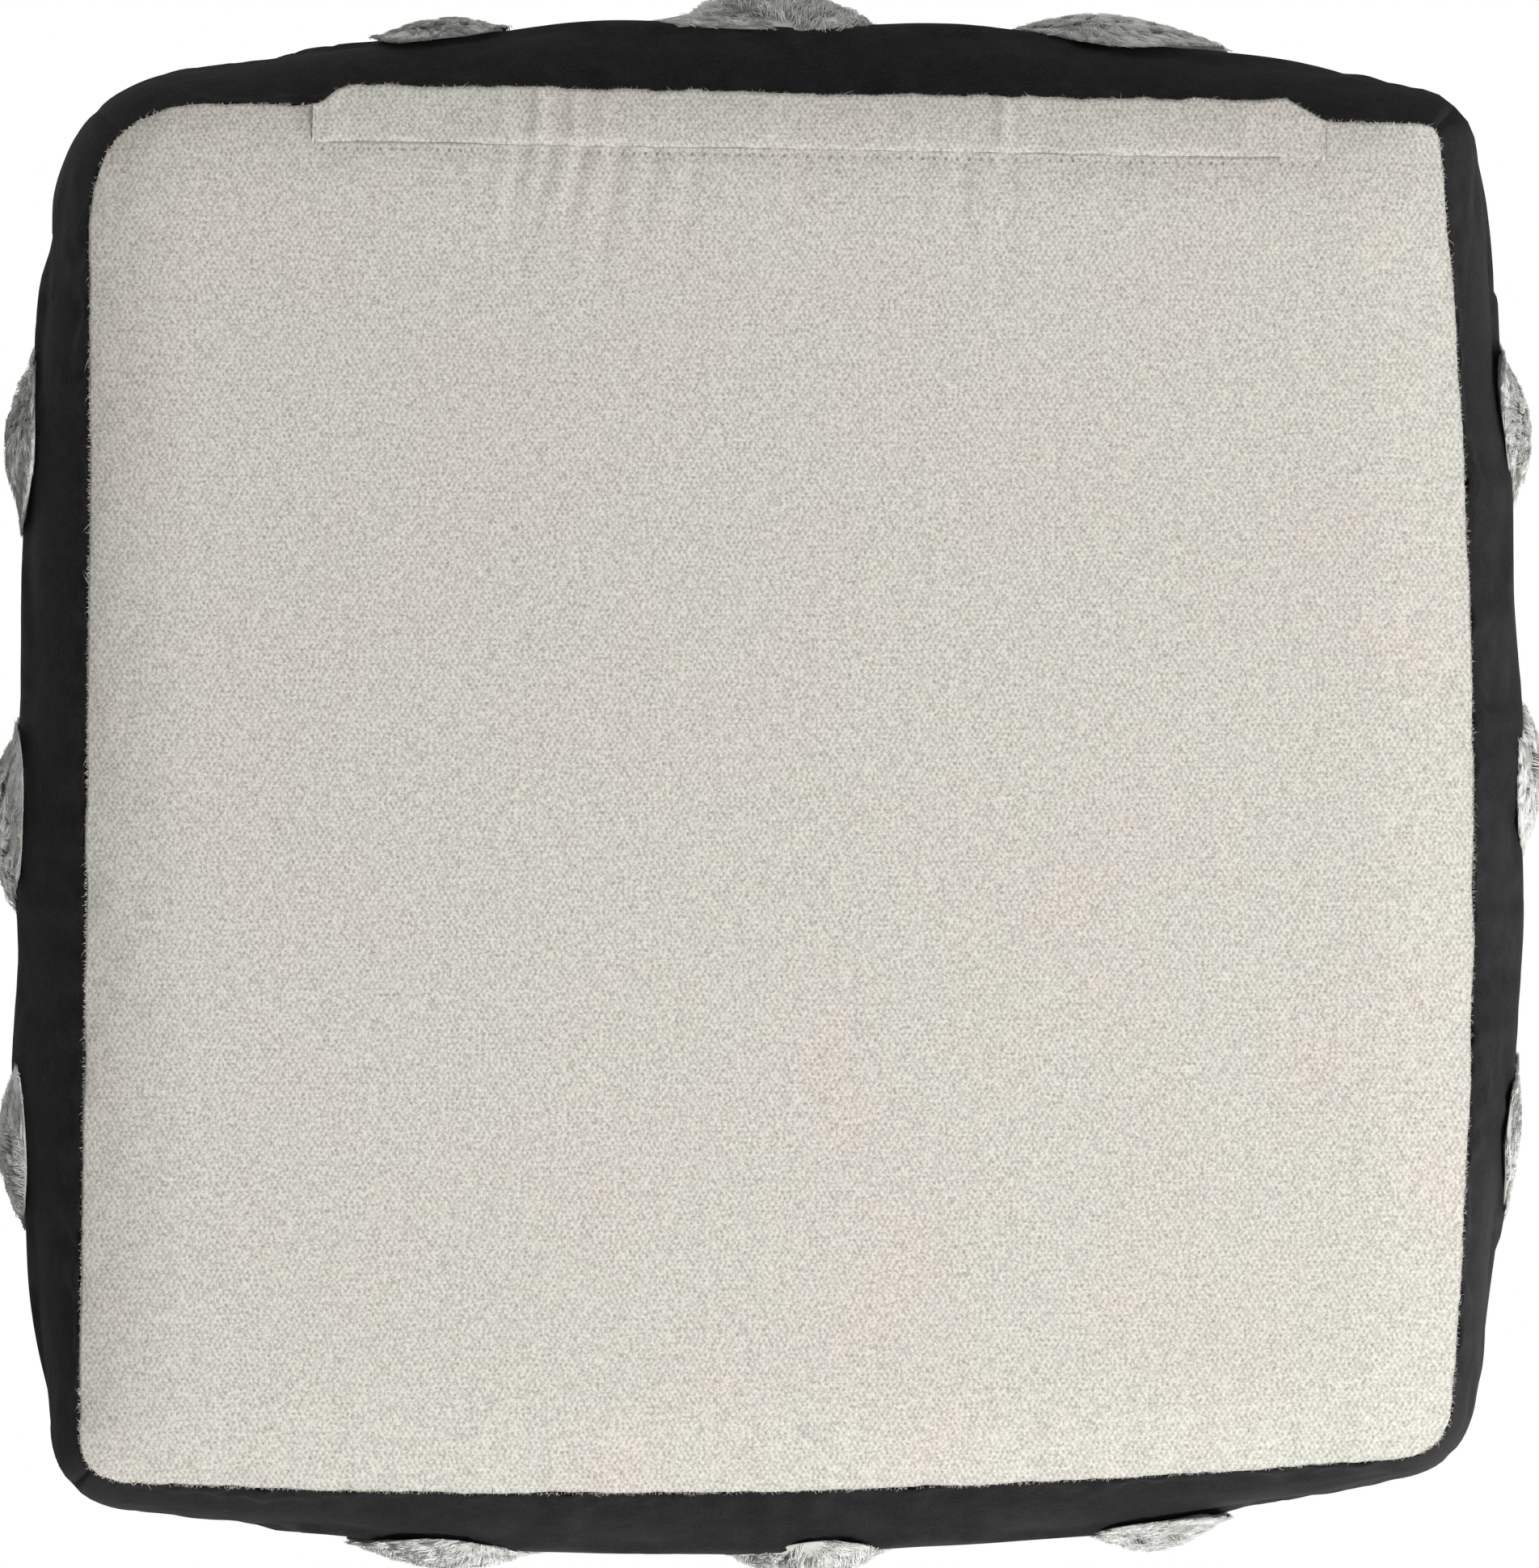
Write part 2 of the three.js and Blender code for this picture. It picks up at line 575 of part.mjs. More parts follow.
add(placket, 'zip_stop_closed_end', zipStop(1), zipMetal);
add(placket, 'zip_stop_open_end', zipStop(-1), zipMetal);
add(placket, 'zip_slider', zipSlider(), zipMetal);
add(placket, 'zip_pull_tab', pullTab(), zipMetal);
const stitchSize = [2 * FLAP_HALF_LENGTH, TOPSTITCH.width, TOPSTITCH.height];
add(placket, 'flap_topstitching', boxAt(...stitchSize, 0, TOPSTITCH.y, TOPSTITCH.z), thread);

add(cushion, 'insert_bottom', insertPanel(INSERT_BOTTOM_INSETS, insertBottomZ), casing);
const insertTopInnerZ = (inset) => insertTopZ(inset) - INSERT_CASING;
add(cushion, 'insert_top', insertPanel(INSERT_TOP_INSETS, insertTopInnerZ), casing);
add(cushion, 'insert_gusset', insertGusset(), casing);
add(cushion, 'insert_filling', filling(), stuffing);

export default cushion;
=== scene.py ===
"""Square box floor cushion: canvas base with a lapped zip, black wool sides and seat, pile tufts.

The cushion lies on its base panel, and the camera looks straight up at that panel, with the zip lap
along the top of the picture. Everything is in metres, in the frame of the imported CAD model.
"""
import math

import bmesh
import bpy
import numpy as np
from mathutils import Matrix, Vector


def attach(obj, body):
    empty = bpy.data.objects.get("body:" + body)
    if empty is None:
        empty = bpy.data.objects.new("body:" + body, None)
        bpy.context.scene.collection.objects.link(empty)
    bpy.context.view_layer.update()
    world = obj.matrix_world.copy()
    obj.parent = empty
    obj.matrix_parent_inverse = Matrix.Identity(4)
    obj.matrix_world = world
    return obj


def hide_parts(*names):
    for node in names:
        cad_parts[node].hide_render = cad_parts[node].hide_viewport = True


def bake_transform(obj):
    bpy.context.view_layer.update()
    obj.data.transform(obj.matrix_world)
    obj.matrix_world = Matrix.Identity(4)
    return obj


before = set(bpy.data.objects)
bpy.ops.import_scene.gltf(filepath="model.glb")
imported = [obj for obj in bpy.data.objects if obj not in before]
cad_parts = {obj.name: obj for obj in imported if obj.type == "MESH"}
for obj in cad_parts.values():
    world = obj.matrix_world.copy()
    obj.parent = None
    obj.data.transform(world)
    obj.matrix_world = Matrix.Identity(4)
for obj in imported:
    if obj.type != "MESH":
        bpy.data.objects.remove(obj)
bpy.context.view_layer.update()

# ---- dimensions: millimetres in the lists and dictionaries, metres elsewhere -------------------------

MM = 0.001

# The seam line round the base panel: corners anticlockwise seen from above, starting back right.
CORNERS = [
    {"at": (274, 274), "radius": 49, "bulge": 21},
    {"at": (-270, 266), "radius": 8, "bulge": 20},
    {"at": (-274, -270), "radius": 20, "bulge": 14},
    {"at": (279, -281), "radius": 20, "bulge": 17},
]
SIDES = [
    {"name": "back", "bow": 3, "bulge": 38},
    {"name": "left", "bow": 12, "bulge": 23},
    {"name": "front", "bow": 10, "bulge": 28},
    {"name": "right", "bow": -1, "bulge": 32},
]
SIDE_FULLNESS = 2.7
HEIGHT_FULLNESS = 2.4
HALF_SIZE = 276 * MM
BASE_SEAM_Z = 10 * MM
BASE_ROLL = 45 * MM
TOP_SEAM_Z = 145 * MM
CROWN = 24 * MM
CROWN_FULLNESS = 2.6
CANVAS = 1 * MM
WOOL = 2 * MM

PLACKET = np.array([-19.8, 253.8]) * MM
PLACKET_TURN = math.radians(1)
FLAP_HALF_LENGTH = 204 * MM
FLAP_END_LENGTH = 50 * MM
FLAP_REACH = 25 * MM
FLAP_THICKNESS = 2 * MM
TUCK = 2 * MM  # how far the base panel runs in under the lap
SETTLE_FRAMES = 20
CLOTH = {"quality": 3, "mass": 0.3, "stretch": 20, "shear": 8, "bend": 0.6}
SETTLED = 2 * MM  # how far the sewn cover fills out beyond its cut shape
STITCH_PITCH = 4.65 * MM
STITCH_ROW_Y = -0.8 * MM

SIDE_TUFT_HALF_HEIGHT = 32
SIDE_TUFTS = {
    "back": [(138, 27, 5), (275, 44, 13.2), (416, 41, 8)],
    "left": [(120, 31, 9), (265, 32, 9), (410, 31, 3)],
    "front": [(115, 31, 9), (258, 35, 11), (408, 40, 8)],
    "right": [(132, 35, 8), (269, 38, 11.4), (423, 36, 9)],
}
TOP_TUFT = {"half_width": 38, "height": 12}
TUFT_HAIRS = 7800
HAIRS_PER_LOCK = 26
# Tone of a hair's seven points against its lock: three at the root, darker as painted shade in the pile,
# three at the middle, and one at the tip, lighter as a painted highlight.
HAIR_PAINTED_SHADE_AND_HIGHLIGHT = np.array([-0.30] * 3 + [0.0] * 3 + [0.12])
TOP_TUFT_X = [136, 0, -142]
TOP_TUFT_Y = [142, -6, -146]

CHAIN = {
    "y": 9.5,
    "z": 13,
    "half_length": 166,
    "row_offset": 1.52,
    "row_half_width": 0.87,
    "row_half_height": 1.2,
}

CAMERA_DISTANCE = 3.0
PICTURE_HEIGHT = 0.6305  # what the long side of the picture takes in at the base panel


# ---- the seam line --------------------------------------------------------------------------------------

def side_curve(index):
    start, end = CORNERS[index], CORNERS[(index + 1) % 4]
    a, b = np.array(start["at"], float), np.array(end["at"], float)
    length = float(np.linalg.norm(b - a))
    along = (b - a) / length
    out = np.array([along[1], -along[0]])
    line = {"start": start, "end": end, "a": a, "length": length, "along": along, "out": out}
    return {**line, **SIDES[index]}


def side_points(side, distance):
    """Points, outward normals and bulges at distances (mm) from a side's first corner."""
    d = np.atleast_1d(np.asarray(distance, float))
    share = d / side["length"]
    slope = 4 * side["bow"] * (1 - 2 * share) / side["length"]
    bowed = 4 * side["bow"] * share * (1 - share)
    point = side["a"] + d[:, None] * side["along"] + bowed[:, None] * side["out"]
    normal = side["out"] - slope[:, None] * side["along"]
    normal /= np.linalg.norm(normal, axis=1)[:, None]
    r0, r1 = side["start"]["radius"], side["end"]["radius"]
    across = (d - r0) / (side["length"] - r0 - r1)
    corner = side["start"]["bulge"] + (side["end"]["bulge"] - side["start"]["bulge"]) * across
    held = 1 - np.abs(2 * across - 1) ** SIDE_FULLNESS
    return point, normal, corner + (side["bulge"] - corner) * held


def corner_points(before, after, shares):
    """The rounded corner between two sides, at shares 0 to 1 of its arc."""
    a, na, _ = (v[0] for v in side_points(before, before["length"] - before["end"]["radius"]))
    b, nb, _ = (v[0] for v in side_points(after, after["start"]["radius"]))
    along_a = np.array([-na[1], na[0]])
    tip = a + along_a * ((b - a) @ nb) / (along_a @ nb)
    t = np.asarray(shares, float)[:, None]
    point = (1 - t) ** 2 * a + 2 * t * (1 - t) * tip + t**2 * b
    tangent = 2 * (1 - t) * (tip - a) + 2 * t * (b - tip)
    tangent /= np.linalg.norm(tangent, axis=1)[:, None]
    normal = np.stack([tangent[:, 1], -tangent[:, 0]], 1)
    return point, normal, np.full(len(t), float(after["start"]["bulge"]))


def strip_curve(index):
    """One side from mid-corner to mid-corner, finely sampled: points and bulges in metres, and normals."""
    before, side, after = side_curve((index + 3) % 4), side_curve(index), side_curve((index + 1) % 4)
    straight = np.linspace(side["start"]["radius"], side["length"] - side["end"]["radius"], 600)
    parts = [
        corner_points(before, side, np.linspace(0.5, 1, 60, endpoint=False)),
        side_points(side, straight),
        corner_points(side, after, np.linspace(0, 0.5, 61)[1:]),
    ]
    point, normal, bulge = (np.concatenate(v) for v in zip(*parts, strict=True))
    return point * MM, normal, bulge * MM


STRIPS = [strip_curve(i) for i in range(4)]


def along_strip(index, shares):
    """Points, normals and bulges at shares 0 to 1 of a strip's length."""
    point, normal, bulge = STRIPS[index]
    step = np.linalg.norm(np.diff(point, axis=0), axis=1)
    run = np.concatenate([[0], np.cumsum(step)])
    at = np.asarray(shares) * run[-1]
    columns = [np.interp(at, run, c) for c in (*point.T, *normal.T, bulge)]
    p, n = np.stack(columns[:2], 1), np.stack(columns[2:4], 1)
    return p, n / np.linalg.norm(n, axis=1)[:, None], columns[4]


def strip_length(index):
    return float(np.linalg.norm(np.diff(STRIPS[index][0], axis=0), axis=1).sum())


def bulge_share(z):
    share = (z - BASE_SEAM_Z) / (TOP_SEAM_Z - BASE_SEAM_Z)
    return 1 - np.abs(2 * share - 1) ** HEIGHT_FULLNESS


def panel_grid(across, along):
    """A grid over the base panel: x, y for each pair of shares, filled in smoothly from its four sides."""
    back, left = along_strip(0, 1 - across)[0], along_strip(1, 1 - along)[0]
    front, right = along_strip(2, across)[0], along_strip(3, along)[0]
    a, b = across[None, :, None], along[:, None, None]
    ruled = (1 - b) * front[None] + b * back[None] + (1 - a) * left[:, None] + a * right[:, None]
    front_corners = (1 - a) * (1 - b) * front[0] + a * (1 - b) * front[-1]
    corners = front_corners + (1 - a) * b * back[0] + a * b * back[-1]
    return ruled - corners


# ---- smooth random relief -------------------------------------------------------------------------------

def relief(seed, x, y, wavelength, waves=14):
    """Smooth noise of about unit size over x, y, with no direction of its own."""
    rng = np.random.default_rng(seed)
    total = np.zeros(np.broadcast(x, y).shape)
    for _ in range(waves):
        angle, phase = rng.uniform(0, 2 * math.pi, 2)
        k = 2 * math.pi / (wavelength * rng.uniform(0.7, 1.6))
        total += np.sin(k * (x * math.cos(angle) + y * math.sin(angle)) + phase)
    return total / math.sqrt(waves)


def bump(x, width):
    return np.exp(-((x / width) ** 2))


def smooth_step(x, low, high):
    t = np.clip((x - low) / (high - low), 0, 1)
    return t * t * (3 - 2 * t)


# ---- meshes ---------------------------------------------------------------------------------------------

def new_object(name, mesh, smooth=True):
    mesh.polygons.foreach_set("use_smooth", np.full(len(mesh.polygons), smooth))
    mesh.update()
    obj = bpy.data.objects.new(name, mesh)
    bpy.context.scene.collection.objects.link(obj)
    return obj


def face_mesh(name, points, faces):
    """A mesh from an array of points and an array of faces that all have the same number of corners."""
    points, faces = np.asarray(points, np.float32), np.asarray(faces, np.int32)
    mesh = bpy.data.meshes.new(name)
    mesh.vertices.add(len(points))
    mesh.vertices.foreach_set("co", points.ravel())
    mesh.loops.add(faces.size)
    mesh.loops.foreach_set("vertex_index", faces.ravel())
    mesh.polygons.add(len(faces))
    mesh.polygons.foreach_set("loop_start", np.arange(len(faces), dtype=np.int32) * faces.shape[1])
    mesh.update(calc_edges=True)
    return mesh


def grid_faces(rows, columns, wrap_columns=False):
    r = np.arange(rows - 1)[:, None]
    c = np.arange(columns if wrap_columns else columns - 1)[None, :]
    n = (c + 1) % columns
    quads = np.stack([r * columns + c, r * columns + n, (r + 1) * columns + n, (r + 1) * columns + c], -1)
    return quads.reshape(-1, 4)


def grid_object(name, grid):
    rows, columns = grid.shape[:2]
    return new_object(name, face_mesh(name, grid.reshape(-1, 3), grid_faces(rows, columns)))


def thicken(obj, thickness, inwards=1.0):
    cloth = obj.modifiers.new("cloth thickness", "SOLIDIFY")
    cloth.thickness = thickness
    cloth.offset = -inwards
    return obj


def tubes(name, paths, radii, sides=5):
    """Closed tubes along paths of equal point counts.

    The shape of paths is (n, points, 3), and that of radii is (points,) or (n, points).
    """
    paths = np.asarray(paths, float)
    n, count, _ = paths.shape
    radii = np.broadcast_to(np.asarray(radii, float), (n, count))
    along = np.gradient(paths, axis=1)
    along /= np.linalg.norm(along, axis=2)[..., None] + 1e-12
    helper = np.where(np.abs(along[..., 2:3]) < 0.8, np.array([0, 0, 1.0]), np.array([1.0, 0, 0]))
    a = np.cross(along, helper)
    a /= np.linalg.norm(a, axis=2)[..., None]
    b = np.cross(along, a)
    turn = 2 * math.pi * np.arange(sides) / sides
    ring = a[:, :, None] * np.cos(turn)[:, None] + b[:, :, None] * np.sin(turn)[:, None]
    points = paths[:, :, None] + ring * radii[..., None, None]
    wall = grid_faces(count, sides, wrap_columns=True)
    wall = np.concatenate([wall[:, [0, 1, 2]], wall[:, [0, 2, 3]]])
    fan = np.stack([np.zeros(sides - 2, int), np.arange(2, sides), np.arange(1, sides - 1)], 1)
    faces = np.concatenate([wall, fan, fan[:, ::-1] + (count - 1) * sides])
    every = (faces[None] + (np.arange(n) * count * sides)[:, None, None]).reshape(-1, 3)
    return new_object(name, face_mesh(name, points.reshape(-1, 3), every))


def fibres(name, root, middle, tip, radius):
    """Thin tapering hairs, as one mesh, each from its root through its middle to its tip."""
    n = len(root)
    along = tip - root
    along /= np.linalg.norm(along, axis=1)[:, None] + 1e-12
    helper = np.where(np.abs(along[:, 2:3]) < 0.8, np.array([0, 0, 1.0]), np.array([1.0, 0, 0]))
    a = np.cross(along, helper)
    a /= np.linalg.norm(a, axis=1)[:, None]
    b = np.cross(along, a)
    turn = 2 * math.pi * np.arange(3) / 3
    ring = a[:, None] * np.cos(turn)[:, None] + b[:, None] * np.sin(turn)[:, None]
    r = np.asarray(radius, float)[:, None, None]
    points = np.concatenate([root[:, None] + ring * r, middle[:, None] + ring * r * 0.8, tip[:, None]], 1)
    pattern = np.array([
        [0, 1, 4], [0, 4, 3], [1, 2, 5], [1, 5, 4], [2, 0, 3], [2, 3, 5],
        [3, 4, 6], [4, 5, 6], [5, 3, 6], [0, 2, 1],
    ])
    every = (pattern[None] + (np.arange(n) * 7)[:, None, None]).reshape(-1, 3)
    return new_object(name, face_mesh(name, points.reshape(-1, 3), every))


# ---- materials ------------------------------------------------------------------------------------------

class Look:
    """A node material that is built up a node at a time."""

    def __init__(self, name, roughness, **sockets):
        self.material = bpy.data.materials.new(name)
        self.material.use_nodes = True
        self.tree = self.material.node_tree
        self.shader = self.tree.nodes["Principled BSDF"]
        self.shader.inputs["Roughness"].default_value = roughness
        for socket, value in sockets.items():
            self.shader.inputs[socket.replace("_", " ")].default_value = value

    def node(self, kind, *inputs, **settings):
        made = self.tree.nodes.new("ShaderNode" + kind)
        named = settings.pop("named", {})
        for key, value in settings.items():
            setattr(made, key, value)
        for key, value in [*enumerate(inputs), *named.items()]:
            if value is None:
                continue
            if isinstance(value, bpy.types.NodeSocket):
                self.tree.links.new(value, made.inputs[key])
            else:
                made.inputs[key].default_value = value
        return made

    def math(self, operation, a, b=None, c=None):
        return self.node("Math", a, b, c, operation=operation).outputs[0]

    def place(self):
        return self.node("TexCoord").outputs["Object"]

    def rest(self):
        """Where the cloth lay before any movement, so that its weave moves with it."""
        return self.node("Attribute", attribute_name="rest").outputs["Vector"]

    def noise(self, where, scale, detail=2.0, roughness=0.5):
        named = {"Vector": where, "Scale": scale, "Detail": detail, "Roughness": roughness}
        made = self.node("TexNoise", named=named)
        return made.outputs["Fac"]

    def stretched(self, where, x, y, z):
        return self.node("Mapping", named={"Vector": where, "Scale": (x, y, z)}).outputs[0]

    def ramp(self, value, *stops):
        made = self.node("ValToRGB", value)
        elements = made.color_ramp.elements
        while len(elements) < len(stops):
            elements.new(0.5)
        for element, (at, color) in zip(elements, stops, strict=True):
            element.position = at
            element.color = (*color, 1)
        return made.outputs[0]

    def mix(self, factor, a, b, blend="MIX"):
        made = self.node("Mix", data_type="RGBA", blend_type=blend)
        for key, value in zip((0, 6, 7), (factor, a, b), strict=True):
            if isinstance(value, bpy.types.NodeSocket):
                self.tree.links.new(value, made.inputs[key])
            else:
                made.inputs[key].default_value = value if key == 0 else (*value, 1)
        return made.outputs[2]

    def finish(self, color, height, distance, strength=1.0, roughness=None):
        self.tree.links.new(color, self.shader.inputs["Base Color"])
        if roughness is not None:
            self.tree.links.new(roughness, self.shader.inputs["Roughness"])
        made = self.node("Bump", named={"Strength": strength, "Distance": distance, "Height": height})
        self.tree.links.new(made.outputs[0], self.shader.inputs["Normal"])
        return self.material


WARP_PITCH = 1.22 * MM
WEFT_PITCH = 1.98 * MM
CANVAS_LIGHT = (0.655, 0.64, 0.588)
CANVAS_DARK = (0.30, 0.288, 0.262)
PINK_CAST = (1.0, 0.962, 0.955)
GREEN_CAST = (0.965, 0.985, 0.96)


def weave(look, where, across, along):
    """Plain weave: (height 0..1 of the yarns, which yarn is on top from -1 to 1)."""
    split = look.node("SeparateXYZ", where)
    x_wander = look.noise(look.stretched(where, 90, 420, 90), 1, 2)
    y_wander = look.noise(look.stretched(where, 260, 70, 70), 1, 2)
    phases = []
    for axis, wander, pitch, reach in ((0, x_wander, across, 3.2), (1, y_wander, along, 1.3)):
        shift = look.math("MULTIPLY", look.math("SUBTRACT", wander, 0.5), reach * pitch)
        phases.append(look.math("MULTIPLY", look.math("ADD", split.outputs[axis], shift), math.pi / pitch))
    checker = look.math("MULTIPLY", look.math("COSINE", phases[0]), look.math("COSINE", phases[1]))
    height = look.math("POWER", look.math("ABSOLUTE", checker), 0.55)
    return height, checker


def needle_holes(look, where):
    """1 in the needle holes of the lap's topstitched line, and 0 elsewhere; the canvas is darkened there as
    painted shade and pitted in its bump.
    """
    c, s = math.cos(PLACKET_TURN), math.sin(PLACKET_TURN)
    offset = look.node("VectorMath", where, (*PLACKET, 0), operation="SUBTRACT").outputs[0]
    p = look.node("VectorMath", offset, (c, s, 0), operation="DOT_PRODUCT").outputs["Value"]
    q = look.node("VectorMath", offset, (-s, c, 0), operation="DOT_PRODUCT").outputs["Value"]
    along = look.math("COSINE", look.math("MULTIPLY", p, 2 * math.pi / STITCH_PITCH))
    dots = look.node("MapRange", along, 0.60, 0.88, 0, 1).outputs[0]
    from_row = look.math("ABSOLUTE", look.math("SUBTRACT", q, STITCH_ROW_Y - 0.3 * MM))
    on_row = look.node("MapRange", from_row, 0.45 * MM, 0.85 * MM, 1, 0).outputs[0]
    within = look.math("LESS_THAN", look.math("ABSOLUTE", p), FLAP_HALF_LENGTH)
    return look.math("MULTIPLY", look.math("MULTIPLY", dots, on_row), within)


def canvas_look():
    look = Look("canvas", 0.92, Sheen_Weight=0.1, Sheen_Roughness=0.6, Specular_IOR_Level=0.25)
    where = look.rest()
    height, checker = weave(look, where, WARP_PITCH, WEFT_PITCH)
    slub = look.noise(look.stretched(where, 210, 820, 210), 1, 3, 0.65)
    warp = look.noise(look.stretched(where, 1300, 240, 240), 1, 2, 0.6)
    grain = look.noise(where, 760, 3, 0.7)
    yarn = look.math("ADD", look.math("MULTIPLY", slub, 0.5), look.math("MULTIPLY", warp, 0.3))
    crossing = look.math("MULTIPLY_ADD", checker, 0.11, 0.11)
    mixed = look.math("ADD", crossing, look.math("MULTIPLY", grain, 0.70))
    color = look.ramp(look.math("ADD", mixed, yarn), (0.62, CANVAS_DARK), (1.06, CANVAS_LIGHT))
    patch = look.ramp(look.noise(where, 11, 3, 0.6), (0.38, PINK_CAST), (0.60, GREEN_CAST))
    color = look.mix(1.0, color, patch, "MULTIPLY")
    fleck = look.ramp(look.noise(where, 520, 2, 0.7), (0.64, (1, 1, 1)), (0.76, (0.62, 0.58, 0.52)))
    color = look.mix(0.7, color, fleck, "MULTIPLY")
    nubs = look.noise(look.stretched(where, 330, 620, 330), 1, 2, 0.7)
    nub = look.ramp(nubs, (0.66, (1, 1, 1)), (0.78, (1.3, 1.3, 1.3)))
    color = look.mix(0.8, color, nub, "MULTIPLY")
    holes = needle_holes(look, where)
    # Painted shade in the needle holes: the canvas is darkened there, by an amount that varies with noise.
    fade = look.node("MapRange", look.noise(where, 45, 2, 0.6), 0.35, 0.65, 0.2, 0.85).outputs[0]
    color = look.mix(look.math("MULTIPLY", holes, fade), color, (0.17, 0.155, 0.13))
    lifted = look.math("ADD", look.math("MULTIPLY", checker, 0.25), height)
    yarns = look.math("ADD", lifted, look.math("MULTIPLY", grain, 1.6))
    pitted = look.math("SUBTRACT", yarns, look.math("MULTIPLY", holes, 2.5))
    return look.finish(color, pitted, 0.07 * MM, 1.0)


def wool_look():
    look = Look("wool", 0.95, Sheen_Weight=0.06, Sheen_Roughness=0.4, Specular_IOR_Level=0.12)
    look.shader.inputs["Sheen Tint"].default_value = (0.75, 0.75, 0.78, 1)
    where = look.place()
    mat = look.noise(where, 950, 4, 0.7)
    lump = look.noise(where, 120, 3, 0.6)
    color = look.ramp(mat, (0.3, (0.006, 0.006, 0.0065)), (0.75, (0.021, 0.021, 0.022)))
    worn = look.ramp(lump, (0.4, (1, 1, 1)), (0.75, (1.5, 1.5, 1.5)))
    color = look.mix(1.0, color, worn, "MULTIPLY")
    height = look.math("ADD", mat, look.math("MULTIPLY", lump, 0.8))
    return look.finish(color, height, 0.6 * MM, 0.9)


def pile_look():
    look = Look("tuft_pile", 0.8, Sheen_Weight=0.25, Sheen_Roughness=0.5)
    where = look.place()
    # The tone attribute holds each lock's own brightness, with painted shade at the hair roots and a
    # painted highlight at the hair tips.
    tone = look.node("Attribute", attribute_name="tone").outputs["Fac"]
    streak = look.noise(where, 300, 3, 0.6)
    shade = look.math("ADD", look.math("MULTIPLY", tone, 0.8), look.math("MULTIPLY", streak, 0.2))
    dark, middle, light = (0.16, 0.16, 0.15), (0.52, 0.515, 0.485), (0.93, 0.925, 0.90)
    color = look.ramp(shade, (0.05, dark), (0.45, middle), (0.9, light))
    return look.finish(color, streak, 0.2 * MM, 0.5)


def thread_look():
    look = Look("sewing_thread", 0.7, Sheen_Weight=0.3)
    where = look.place()
    ply = look.noise(look.stretched(where, 1500, 3500, 3500), 1, 2)
    color = look.ramp(ply, (0.3, (0.40, 0.37, 0.31)), (0.75, (0.62, 0.59, 0.52)))
    return look.finish(color, ply, 0.08 * MM, 0.8)


def tape_look():
    look = Look("zip_tape", 0.8, Sheen_Weight=0.3)
    where = look.place()
    height, _ = weave(look, where, 0.55 * MM, 0.8 * MM)
    # Painted shade: the tape is darker in the low gaps between its yarns.
    color = look.ramp(height, (0.2, (0.30, 0.28, 0.24)), (0.9, (0.52, 0.49, 0.43)))
    return look.finish(color, height, 0.12 * MM, 0.8)


def coil_look():
    look = Look("zip_coil", 0.35)
    where = look.place()
    cloud = look.noise(where, 300, 2)
    color = look.ramp(cloud, (0.3, (0.42, 0.39, 0.33)), (0.7, (0.50, 0.47, 0.41)))
    return look.finish(color, cloud, 0.03 * MM, 0.4)


def metal_look():
    look = Look("zip_metal", 0.35, Metallic=1.0)
    where = look.place()
    scratch = look.noise(look.stretched(where, 200, 2600, 900), 1, 3, 0.6)
    cloud = look.noise(where, 160, 2)
    color = look.ramp(cloud, (0.3, (0.42, 0.41, 0.39)), (0.7, (0.60, 0.59, 0.56)))
    rough = look.node("MapRange", scratch, 0.3, 0.7, 0.25, 0.5).outputs[0]
    return look.finish(color, scratch, 0.03 * MM, 0.5, rough)


def casing_look():
    look = Look("insert_casing", 0.9, Sheen_Weight=0.2)
    where = look.place()
    height, _ = weave(look, where, 0.5 * MM, 0.5 * MM)
    # Painted shade: the casing is darker in the low gaps between its yarns.
    color = look.ramp(height, (0.2, (0.62, 0.61, 0.57)), (0.9, (0.80, 0.79, 0.75)))
    return look.finish(color, height, 0.1 * MM, 0.7)


def stuffing_look():
    look = Look("stuffing", 0.95, Sheen_Weight=0.4)
    where = look.place()
    tuft = look.noise(where, 140, 5, 0.7)
    color = look.ramp(tuft, (0.3, (0.70, 0.69, 0.67)), (0.7, (0.90, 0.90, 0.88)))
    return look.finish(color, tuft, 1.5 * MM, 0.9)


LOOKS = {
    "canvas": canvas_look(),
    "wool": wool_look(),
    "tuft_pile": pile_look(),
    "sewing_thread": thread_look(),
    "zip_tape": tape_look(),
    "zip_coil": coil_look(),
    "zip_metal": metal_look(),
    "insert_casing": casing_look(),
    "stuffing": stuffing_look(),
}


def dress(obj, slot):
    obj.data.materials.clear()
    obj.data.materials.append(LOOKS[slot])
    return obj


def keep_rest(obj):
    count = len(obj.data.vertices)
    place = np.empty(count * 3, np.float32)
    obj.data.vertices.foreach_get("co", place)
    rest = obj.data.attributes.new("rest", "FLOAT_VECTOR", "POINT")
    rest.data.foreach_set("vector", place)


def finish_piece(obj, slot, body="cushion", replaced=()):
    """Dresses a new piece, attaches it to the empty of the body it rides on, and hides the CAD nodes it
    stands for.
    """
    keep_rest(obj)
    dress(obj, slot)
    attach(obj, body)
    if replaced:
        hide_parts(*replaced)
    return obj


# ---- the placket frame ----------------------------------------------------------------------------------

def to_placket(x, y):
    """Distance along the zip, and out from the topstitched line, of a point in the row frame."""
    c, s = math.cos(PLACKET_TURN), math.sin(PLACKET_TURN)
    dx, dy = x - PLACKET[0], y - PLACKET[1]
    return c * dx + s * dy, -s * dx + c * dy


def from_placket(p, q, z):
    c, s = math.cos(PLACKET_TURN), math.sin(PLACKET_TURN)
    return np.stack(np.broadcast_arrays(PLACKET[0] + c * p - s * q, PLACKET[1] + s * p + c * q, z), -1)


